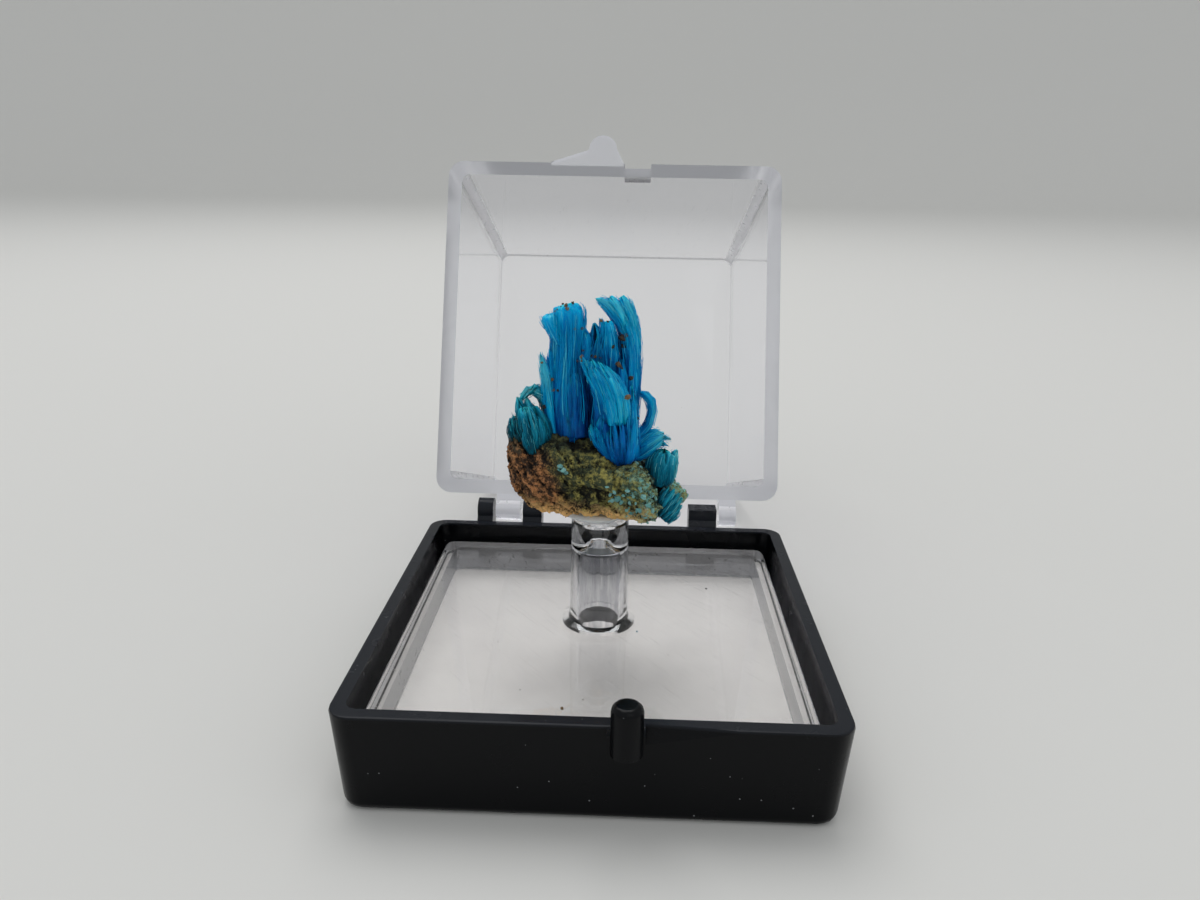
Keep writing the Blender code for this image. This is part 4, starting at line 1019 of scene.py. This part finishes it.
def make_fibre_tree():
    tree, given, result = tree_with_inputs("grow_fibres", [
        ("Thickness", "NodeSocketFloat", 0.1 * MM), ("Inner reach", "NodeSocketFloat", 0.9),
        ("Outer reach", "NodeSocketFloat", 1.03), ("Waviness", "NodeSocketFloat", 0.1 * MM),
        ("Flare", "NodeSocketFloat", 0.1), ("Sides", "NodeSocketInt", 4), ("Seed", "NodeSocketInt", 1),
        ("Body", "NodeSocketObject", None),
    ])
    link = tree.links.new

    def math_node(operation, a, b=None, c=None, clamp=False):
        node = add(tree, "ShaderNodeMath", operation=operation, use_clamp=clamp)
        for socket, value in zip(node.inputs, (a, b, c)):
            if value is None:
                continue
            if isinstance(value, (int, float)):
                socket.default_value = value
            else:
                link(value, socket)
        return node.outputs[0]

    def vector_node(operation, a, b=None, scale=None):
        node = add(tree, "ShaderNodeVectorMath", operation=operation)
        for socket, value in ((node.inputs[0], a), (node.inputs[1], b), (node.inputs[3], scale)):
            if value is None:
                continue
            if isinstance(value, (int, float, tuple)):
                socket.default_value = value
            else:
                link(value, socket)
        return node.outputs[1 if operation == "DOT_PRODUCT" else 0]

    def named(label):
        return add(tree, "GeometryNodeInputNamedAttribute", inputs={"Name": label}).outputs["Attribute"]

    index = add(tree, "GeometryNodeInputIndex").outputs[0]

    def fibre_random(low, high, offset):
        """A random number that is the same along a whole fibre."""
        seed = math_node("ADD", given.outputs["Seed"], offset)
        node = add(tree, "FunctionNodeRandomValue", data_type="FLOAT")
        link(index, node.inputs["ID"])
        link(seed, node.inputs["Seed"])
        for socket, value in ((node.inputs[2], low), (node.inputs[3], high)):
            if isinstance(value, (int, float)):
                socket.default_value = value
            else:
                link(value, socket)
        whole = add(tree, "GeometryNodeFieldOnDomain", domain="CURVE", data_type="FLOAT")
        link(node.outputs[1], whole.inputs[0])
        return whole.outputs[0]

    lines = add(tree, "GeometryNodeMeshToCurve")
    link(given.outputs["Geometry"], lines.inputs["Mesh"])
    copies = add(tree, "GeometryNodeDuplicateElements", domain="SPLINE")
    link(lines.outputs[0], copies.inputs["Geometry"])
    link(named("fibre_count"), copies.inputs["Amount"])

    # where in the section each fibre runs
    angle = fibre_random(0.0, 2 * math.pi, 10)
    in_section = fibre_random(given.outputs["Inner reach"], given.outputs["Outer reach"], 20)
    way = add(tree, "GeometryNodeSplineParameter").outputs["Factor"]
    flare = math_node("MULTIPLY", math_node("POWER", way, 6.0), fibre_random(-0.3, 1.0, 25))
    reach = math_node("MULTIPLY", in_section,
                      math_node("ADD", 1.0, math_node("MULTIPLY", flare, given.outputs["Flare"])))
    tangent = add(tree, "GeometryNodeInputTangent").outputs[0]
    lean = vector_node("DOT_PRODUCT", tangent, (1.0, 0.0, 0.0))
    side = vector_node("NORMALIZE", vector_node("SUBTRACT", (1.0, 0.0, 0.0), vector_node("SCALE", tangent, scale=lean)))
    deep = vector_node("CROSS_PRODUCT", tangent, side)
    out_side = math_node("MULTIPLY", math_node("MULTIPLY", math_node("COSINE", angle), reach), named("half_width"))
    out_deep = math_node("MULTIPLY", math_node("MULTIPLY", math_node("SINE", angle), reach), named("half_depth"))
    offset = vector_node("ADD", vector_node("SCALE", side, scale=out_side), vector_node("SCALE", deep, scale=out_deep))

    # a slow wander, different for every fibre
    spot = add(tree, "GeometryNodeInputPosition").outputs[0]
    per_mm = vector_node("SCALE", spot, scale=0.35 / MM)
    own = vector_node("SCALE", (1.0, 1.7, 2.3), scale=fibre_random(0.0, 90.0, 30))
    wander = add(tree, "ShaderNodeTexNoise", inputs={"Scale": 1.0, "Detail": 1.0})
    link(vector_node("ADD", per_mm, own), wander.inputs["Vector"])
    centred = vector_node("SUBTRACT", wander.outputs["Color"], (0.5, 0.5, 0.5))
    drift = vector_node("SCALE", centred, scale=given.outputs["Waviness"])

    moved = add(tree, "GeometryNodeSetPosition")
    link(copies.outputs["Geometry"], moved.inputs["Geometry"])
    link(vector_node("ADD", offset, drift), moved.inputs["Offset"])

    section = add(tree, "ShaderNodeCombineXYZ")
    for socket, value in zip(section.inputs, (out_side, out_deep)):
        link(math_node("DIVIDE", value, MM), socket)
    link(math_node("MULTIPLY", way, named("length_mm")), section.inputs[2])
    placed = add(tree, "GeometryNodeStoreNamedAttribute", data_type="FLOAT_VECTOR", domain="POINT",
                 inputs={"Name": "strand"})
    link(moved.outputs[0], placed.inputs["Geometry"])
    link(section.outputs[0], placed.inputs["Value"])

    # each fibre shows for a stretch of its bundle, and the ones that reach the end make it ragged
    shortest = math_node("SUBTRACT", 1.0, named("ragged"))
    cut = add(tree, "GeometryNodeTrimCurve", mode="FACTOR")
    link(placed.outputs[0], cut.inputs["Curve"])
    start = fibre_random(0.0, 0.85, 40)
    share = math_node("POWER", fibre_random(0.05, 1.0, 45), 0.6)
    to_tip = math_node("SUBTRACT", fibre_random(shortest, 1.0, 50), start)
    link(start, cut.inputs[2])
    link(math_node("ADD", start, math_node("MULTIPLY", to_tip, share)), cut.inputs[3])

    # thickness with a tapered tip
    along = add(tree, "GeometryNodeSplineParameter").outputs["Factor"]
    near_tip = math_node("POWER", along, 5.0)
    taper = math_node("SUBTRACT", 1.0, math_node("MULTIPLY", near_tip, 0.55))
    own_size = math_node("MULTIPLY", given.outputs["Thickness"], fibre_random(0.55, 1.5, 60))

    # the shader reads these: the place in the bundle, the light of the body below, the fibre's tone
    body = add(tree, "GeometryNodeObjectInfo", transform_space="ORIGINAL")
    link(given.outputs["Body"], body.inputs["Object"])
    below = add(tree, "GeometryNodeSampleNearestSurface", data_type="FLOAT")
    link(body.outputs["Geometry"], below.inputs["Mesh"])
    link(named("light"), below.inputs["Value"])
    geometry = cut.outputs[0]
    for label, value in (("light", below.outputs["Value"]), ("tone", fibre_random(0.0, 1.0, 70))):
        store = add(tree, "GeometryNodeStoreNamedAttribute", data_type="FLOAT", domain="POINT",
                    inputs={"Name": label})
        link(geometry, store.inputs["Geometry"])
        link(value, store.inputs["Value"])
        geometry = store.outputs[0]

    ring = add(tree, "GeometryNodeCurvePrimitiveCircle", mode="RADIUS", inputs={"Radius": 1.0})
    link(given.outputs["Sides"], ring.inputs["Resolution"])
    swept = add(tree, "GeometryNodeCurveToMesh", inputs={"Fill Caps": True})
    link(geometry, swept.inputs["Curve"])
    link(ring.outputs[0], swept.inputs["Profile Curve"])
    link(math_node("MULTIPLY", own_size, taper), swept.inputs["Scale"])
    rounded = add(tree, "GeometryNodeSetShadeSmooth")
    link(swept.outputs[0], rounded.inputs["Geometry"])
    finish_tree(tree, given, result, rounded.outputs[0])
    return tree


FIBRE_TREE = make_fibre_tree()


print("tree:", FIBRE_TREE.name)

# %% [markdown]
# The blue is a copper sulphate colour: azure where the fibres are thin, ultramarine where the
# bundle is thick or shaded, and nearly white where a loose fibre catches the light. One value, the
# light, runs through all five colours of a ramp. Each point has it stored, and the shader adds
# streaks that follow the bundle, because their noise is read in the bundle's own section and
# drawn out along its length. Light travels into the crystal, which the subsurface scatter shows.
# A loose fibre is thinner than that path, so it has the same colours without scatter.

# %% Crystal material
BLUES = [(0.0, (0.0, 0.065, 0.29)), (0.28, (0.0, 0.16, 0.50)), (0.52, (0.0, 0.32, 0.71)),
         (0.80, (0.0, 0.47, 0.84)), (1.0, (0.08, 0.66, 0.88))]
TEALS = [(0.0, (0.004, 0.035, 0.045)), (0.28, (0.002, 0.13, 0.22)), (0.52, (0.004, 0.27, 0.42)),
         (0.78, (0.04, 0.48, 0.62)), (1.0, (0.22, 0.72, 0.78))]


def crystal(name, stops, scatter):
    mat, tree, shader = finish(name)

    def stored(label):
        return add(tree, "ShaderNodeAttribute", attribute_name=label)

    strand = stored("strand").outputs["Vector"]
    value = stored("light").outputs["Fac"]
    for per_mm, stretched, weight in ((1.3, 0.12, 0.45), (4.5, 0.30, 0.50), (11.0, 0.8, 0.40)):
        drawn = add(tree, "ShaderNodeVectorMath", operation="MULTIPLY",
                    inputs={1: (per_mm, per_mm, stretched)})
        tree.links.new(strand, drawn.inputs[0])
        silk = add(tree, "ShaderNodeMath", operation="SUBTRACT", inputs={1: 0.5})
        tree.links.new(noise_at(tree, drawn.outputs[0], 1.0, 2.0), silk.inputs[0])
        value = add_up(tree, value, silk.outputs[0], weight)
    bump(tree, shader, silk.outputs[0], 0.6, 0.05)
    rare = add(tree, "ShaderNodeMath", operation="POWER", inputs={1: 5.0})
    tree.links.new(stored("tone").outputs["Fac"], rare.inputs[0])
    value = add_up(tree, value, rare.outputs[0], 0.75)
    ramp = add(tree, "ShaderNodeValToRGB")
    tree.links.new(value, ramp.inputs[0])
    while len(ramp.color_ramp.elements) < len(stops):
        ramp.color_ramp.elements.new(0.5)
    for element, (at, colour) in zip(ramp.color_ramp.elements, stops):
        element.position = at
        element.color = (*colour, 1.0)
    tree.links.new(ramp.outputs[0], shader.inputs["Base Color"])
    shader.inputs["Roughness"].default_value = 0.38
    shader.inputs["Specular IOR Level"].default_value = 0.09
    shader.inputs["IOR"].default_value = 1.53
    shader.inputs["Subsurface Weight"].default_value = scatter
    shader.inputs["Subsurface Scale"].default_value = 0.6 * MM
    shader.inputs["Subsurface Radius"].default_value = (0.30, 0.80, 1.0)
    return mat


blue_body, blue_fibre = crystal("blue_body", BLUES, 0.75), crystal("blue_fibre", BLUES, 0.0)
teal_body, teal_fibre = crystal("teal_body", TEALS, 0.75), crystal("teal_fibre", TEALS, 0.0)

# %% [markdown]
# The photograph shows more than hair: the fibres have grown together into satin-like masses with
# rounded or split ends, and only the outermost ones are loose. So each bundle gets a body, lofted
# along the same rows, with fine ridges along its length and an end that every ridge reaches at a
# height of its own. The loose fibres are grown over the bodies.

# %% Bodies of the bundles
BODY_STEP_MM = 0.11


def rounded_end(distance, cap):
    """The share of the full width at a distance from the end of a bundle."""
    return math.sqrt(max(0.0, 1 - (1 - min(1.0, distance / cap)) ** 2))


def silky_bodies(name, bundles, seed):
    places, faces, light, strand = [], [], [], []
    for number, (rows, _, rag, cap) in enumerate(bundles):
        lines = [r[:3] for r in rows]
        sizes = [r[3:6] for r in rows]
        length = curve_length(rows)
        widest = max(r[3] + r[4] for r in rows) / 2
        sides = min(84, max(18, round(2 * math.pi * widest / BODY_STEP_MM)))
        steps = max(14, round(length / (BODY_STEP_MM * 1.7)))
        own = Vector((0.0, 0.0, 13.7 * number + seed))
        first = len(places)
        for k in range(sides):
            angle = 2 * math.pi * k / sides
            c, d = math.cos(angle), math.sin(angle)
            rim = Vector((c, d, 0.0))
            split = noise.noise(rim * 2.2 + own) + noise.noise(rim * widest * 7.0 + own) * 1.1
            end = 0.985 - rag * min(1.0, max(0.0, 0.55 + split))
            for j in range(steps + 1):
                t = end * (0.5 - 0.5 * math.cos(math.pi * j / steps))
                centre = on_curve(lines, t)
                size = on_curve(sizes, t)
                run = (on_curve(lines, min(1.0, t + 0.01)) - on_curve(lines, max(0.0, t - 0.01))).normalized()
                side = (Vector((1, 0, 0)) - run * run.x).normalized()
                deep = run.cross(side)
                along = t * length
                across = Vector((c * size.x, d * size.y, 0.0))
                ridge = noise.noise(across * 2.4 + Vector((0, 0, along * 0.30)) + own) * 0.12
                ridge += noise.noise(across * 6.5 + Vector((0, 0, along * 0.6)) + own) * 0.11
                swell = noise.noise(across * 1.0 + Vector((0, 0, along * 0.35)) + own * 1.7) * 0.18
                full = rounded_end((end - t) * length, cap) * rounded_end(along, cap)
                grown = 1 + (ridge + swell) / max(0.7, min(size.x, size.y))
                p = centre + (side * across.x + deep * across.y) * full * grown
                places.append(p * MM)
                light.append(size.z + swell * 0.8)
                strand.append((across.x, across.y, along))
        for k in range(sides):
            here, beside = first + k * (steps + 1), first + (k + 1) % sides * (steps + 1)
            for j in range(steps):
                faces.append((here + j, beside + j, beside + j + 1, here + j + 1))
    mesh = bpy.data.meshes.new(name)
    mesh.from_pydata(places, [], faces)
    mesh.attributes.new("light", "FLOAT", "POINT").data.foreach_set("value", light)
    mesh.attributes.new("tone", "FLOAT", "POINT").data.foreach_set("value", [0.5] * len(places))
    flat = [part for p in strand for part in p]
    mesh.attributes.new("strand", "FLOAT_VECTOR", "POINT").data.foreach_set("vector", flat)
    bm = bmesh.new()
    bm.from_mesh(mesh)
    bmesh.ops.remove_doubles(bm, verts=bm.verts, dist=0.0005 * MM)
    bmesh.ops.triangulate(bm, faces=bm.faces)
    bm.to_mesh(mesh)
    bm.free()
    mesh.shade_smooth()
    piece = bpy.data.objects.new(name, mesh)
    scene.collection.objects.link(piece)
    return piece


CLUSTERS = [
    ("main", MAIN_BUNDLES, blue_body, blue_fibre, 3), ("left", LEFT_BUNDLES, teal_body, teal_fibre, 5),
    ("right", RIGHT_BUNDLES, teal_body, teal_fibre, 7), ("corner", CORNER_BUNDLES, teal_body, teal_fibre, 9),
]
bodies = {part: silky_bodies("crystals_" + part + "_silk", bundles, seed)
          for part, bundles, _, _, seed in CLUSTERS}

# %% [markdown]
# Where bundles crowd together little light gets in, and the blue turns deep. That is measured: from
# every point of the bodies a fan of short rays feels for other bodies and for the rock, and the share
# that is blocked is taken off the stored light. The rock's points get the same painted shade, taken
# off their tone, so the rock is painted darker in its hollows and under the crystals.

# %% Shade between the bundles
SHADE_REACH_MM = 2.6
SHADE_DEPTH = 0.52
FAN = []
for ring in range(26):
    height = 1 - 2 * (ring + 0.5) / 26
    turn = ring * 2.39996
    FAN.append(Vector((math.cos(turn), math.sin(turn), 0)) * math.sqrt(1 - height ** 2) + Vector((0, 0, height)))

corners, polygons = [], []
for piece in [*bodies.values(), rock_piece]:
    start = len(corners)
    corners += [v.co.copy() for v in piece.data.vertices]
    polygons += [[start + i for i in p.vertices] for p in piece.data.polygons]
crowd = BVHTree.FromPolygons(corners, polygons)
# painted shade: the blocked share is taken off the bodies' light and, deeper, off the rock's tone
for piece, label, lift, depth in [*((b, "light", 0.10, SHADE_DEPTH) for b in bodies.values()),
                                  (rock_piece, "tone", 0.10, 0.75)]:
    shaded = []
    stored = piece.data.attributes[label].data
    for v in piece.data.vertices:
        blocked = total = 0.0
        for ray in FAN:
            facing = ray.dot(v.normal)
            if facing < 0.2:
                continue
            total += facing
            if crowd.ray_cast(v.co + v.normal * 0.06 * MM, ray, SHADE_REACH_MM * MM)[0]:
                blocked += facing
        shaded.append(stored[v.index].value + lift - depth * blocked / max(total, 0.01))
    stored.foreach_set("value", shaded)
print("shaded", len(corners), "points")

# %% Loose fibres over the bodies
for part, bundles, body_mat, fibre_mat, seed in CLUSTERS:
    settle(bodies[part], body_mat, "base", "chalcanthite", "crystals_" + part)
    guides = guide_lines("guides_" + part, bundles)
    settle(grow("fibres_" + part, FIBRE_TREE, guides, fibre_mat, Thickness=0.027 * MM, Inner_reach=0.92,
                Outer_reach=1.14, Waviness=0.8 * MM, Flare=0.6, Sides=3, Seed=seed, Body=bodies[part]),
           fibre_mat, "base", "chalcanthite")
    bpy.data.objects.remove(guides, do_unlink=True)

# %% [markdown]
# Brown grains of the rock stick to the crystals. Each is placed where the photograph shows it: a ray
# from the camera through its place in the picture finds the crystal, and a small knocked-about
# icosphere is set there. A few more on the back keep that side from looking swept.

# %% Brown grains on the crystals
# place in the picture, width in mm, and tone from 0 for dark brown to 1 for ochre
GRAINS = [
    (566, 306.5, 0.22, 0.6), (567, 308.5, 0.20, 0.7), (563, 304.5, 0.14, 0.4), (573, 303.8, 0.20, 0.4),
    (557.5, 309.5, 0.12, 0.8), (555.5, 311.5, 0.12, 0.8), (561, 307, 0.12, 0.6), (574, 329, 0.24, 0.6),
    (588, 326.5, 0.26, 0.4), (587.5, 329, 0.18, 0.5), (583, 350.5, 0.16, 0.4), (582.5, 356.5, 0.20, 0.6),
    (582, 361, 0.16, 0.5), (577.5, 361, 0.16, 0.9), (590.5, 356.5, 0.30, 0.1), (593, 356, 0.20, 0.1),
    (595.5, 356.5, 0.18, 0.7), (600.5, 357.5, 0.16, 0.8), (551.8, 379.5, 0.22, 0.7), (552.5, 390, 0.24, 0.7),
    (558, 390.5, 0.16, 0.0), (545.5, 406.5, 0.26, 0.0), (593, 397, 0.12, 0.5), (620, 348, 0.20, 0.1),
    (624.5, 346.3, 0.26, 0.0), (623, 336.8, 0.50, 0.1), (620.5, 337.5, 0.32, 0.15), (626, 336, 0.28, 0.3),
    (621.3, 333, 0.14, 0.3), (619.5, 364.5, 0.30, 0.5), (622, 368.5, 0.16, 0.3), (630, 377.8, 0.30, 0.2),
    (632, 377.5, 0.18, 0.5), (626.8, 397.8, 0.34, 1.0), (644.5, 418, 0.18, 0.1), (606.5, 343.5, 0.14, 0.2),
    (602.5, 318.5, 0.18, 0.8), (604.5, 320, 0.16, 0.3), (538.8, 363.5, 0.16, 0.8), (610, 359, 0.12, 0.6),
]
# crumbs that have fallen on the deck, the one with tone 2 a chip of the crystals
FALLEN = [(562, 709, 0.16, 0.9), (637, 632, 0.13, 2.0), (706, 589, 0.12, 0.0), (583, 700, 0.07, 0.4),
          (520, 690, 0.07, 0.2), (668, 655, 0.06, 0.3), (612, 682, 0.05, 0.5), (498, 642, 0.06, 0.4)]
# flakes of copper salt on the rock
FLAKES = [
    (560, 466, 0.30, 0.6), (563, 470, 0.34, 0.9), (566, 472, 0.22, 0.5), (559.5, 470, 0.18, 0.7),
    (613, 492, 0.30, 0.8), (618, 497, 0.36, 0.5), (612, 500, 0.26, 0.9), (622, 503, 0.30, 0.6),
    (628, 490, 0.28, 1.0), (633, 497, 0.36, 0.8), (640, 488, 0.24, 0.6), (644, 496, 0.34, 0.9),
    (648, 505, 0.32, 0.7), (640, 510, 0.36, 0.6), (652, 512, 0.28, 0.9), (631, 513, 0.24, 0.4),
    (655, 498, 0.22, 1.0), (626, 510, 0.22, 0.7), (636, 503, 0.20, 1.0), (607, 487, 0.18, 0.8),
]
clinging_grit, tree, shader = finish("clinging_grit")
grit_tone = add(tree, "ShaderNodeAttribute", attribute_name="tone").outputs["Fac"]
browns = blend_colours(tree, grit_tone, (0.008, 0.006, 0.006), (0.21, 0.13, 0.055))
teal_chip = spread(tree, grit_tone, 1.5, 1.6)
tree.links.new(blend_colours(tree, teal_chip, browns, (0.02, 0.22, 0.30)), shader.inputs["Base Color"])
shader.inputs["Roughness"].default_value = 0.7

dice = random.Random(31)
eye = Vector(CAMERA_MM) * MM


def surface_of(*pieces):
    """A tree for ray casts against some pieces."""
    corners, faces = [], []
    for piece in pieces:
        start = len(corners)
        corners += [v.co.copy() for v in piece.data.vertices]
        faces += [[start + i for i in p.vertices] for p in piece.data.polygons]
    return BVHTree.FromPolygons(corners, faces)


def seen_at(surface, spots):
    """Where a ray from the camera through each spot of the picture meets a surface, or else passes it."""
    drops = []
    for px, py, width, tone in spots:
        at, normal, _, _ = surface.ray_cast(eye, ray_through(px, py))
        if at is None:
            at, normal, _, _ = surface.find_nearest(eye + ray_through(px, py) * 0.0745, 0.9 * MM)
        if at is not None:
            drops.append((at, normal, width, tone))
    print(len(drops), "of", len(spots), "at their place in the picture")
    return drops


def lumps(name, drops):
    """One mesh of small irregular lumps, each with its middle just above a surface point."""
    bm = bmesh.new()
    tone_layer = bm.verts.layers.float.new("tone")
    for at, outward, width, tone in drops:
        made = bmesh.ops.create_icosphere(bm, subdivisions=2, radius=0.5)
        shape = Vector((dice.uniform(0.7, 1.1), dice.uniform(0.7, 1.1), dice.uniform(0.5, 0.8)))
        turn = Euler([dice.uniform(0, 6.28) for _ in range(3)]).to_matrix()
        shift = Vector([dice.uniform(0, 50) for _ in range(3)])
        for v in made["verts"]:
            lumpy = v.co * (1 + 0.7 * noise.noise(v.co * 3.0 + shift))
            v.co = at + outward * width * 0.35 * MM + turn @ (lumpy * shape) * width * 1.6 * MM
            v[tone_layer] = tone + 0.25 * noise.noise(v.co / MM * 9.0)
    mesh = bpy.data.meshes.new(name)
    bm.to_mesh(mesh)
    bm.free()
    piece = bpy.data.objects.new(name, mesh)
    scene.collection.objects.link(piece)
    return piece


crystal_surface = surface_of(*bodies.values())
drops = seen_at(crystal_surface, GRAINS) + seen_at(surface_of(insert_piece), FALLEN)
for _ in range(26):
    start = Vector((dice.uniform(-5, 4), 20, dice.uniform(24, 35))) * MM
    at, normal, _, _ = crystal_surface.ray_cast(start, Vector((dice.uniform(-0.2, 0.2), -1, 0)).normalized())
    if at is not None:
        drops.append((at, normal, dice.uniform(0.12, 0.3), dice.random()))
settle(lumps("grit_brown", drops), clinging_grit, "base", "matrix_rock")
settle(lumps("salt_flakes", seen_at(surface_of(rock_piece), FLAKES)), copper_salt, "base", "matrix_rock")
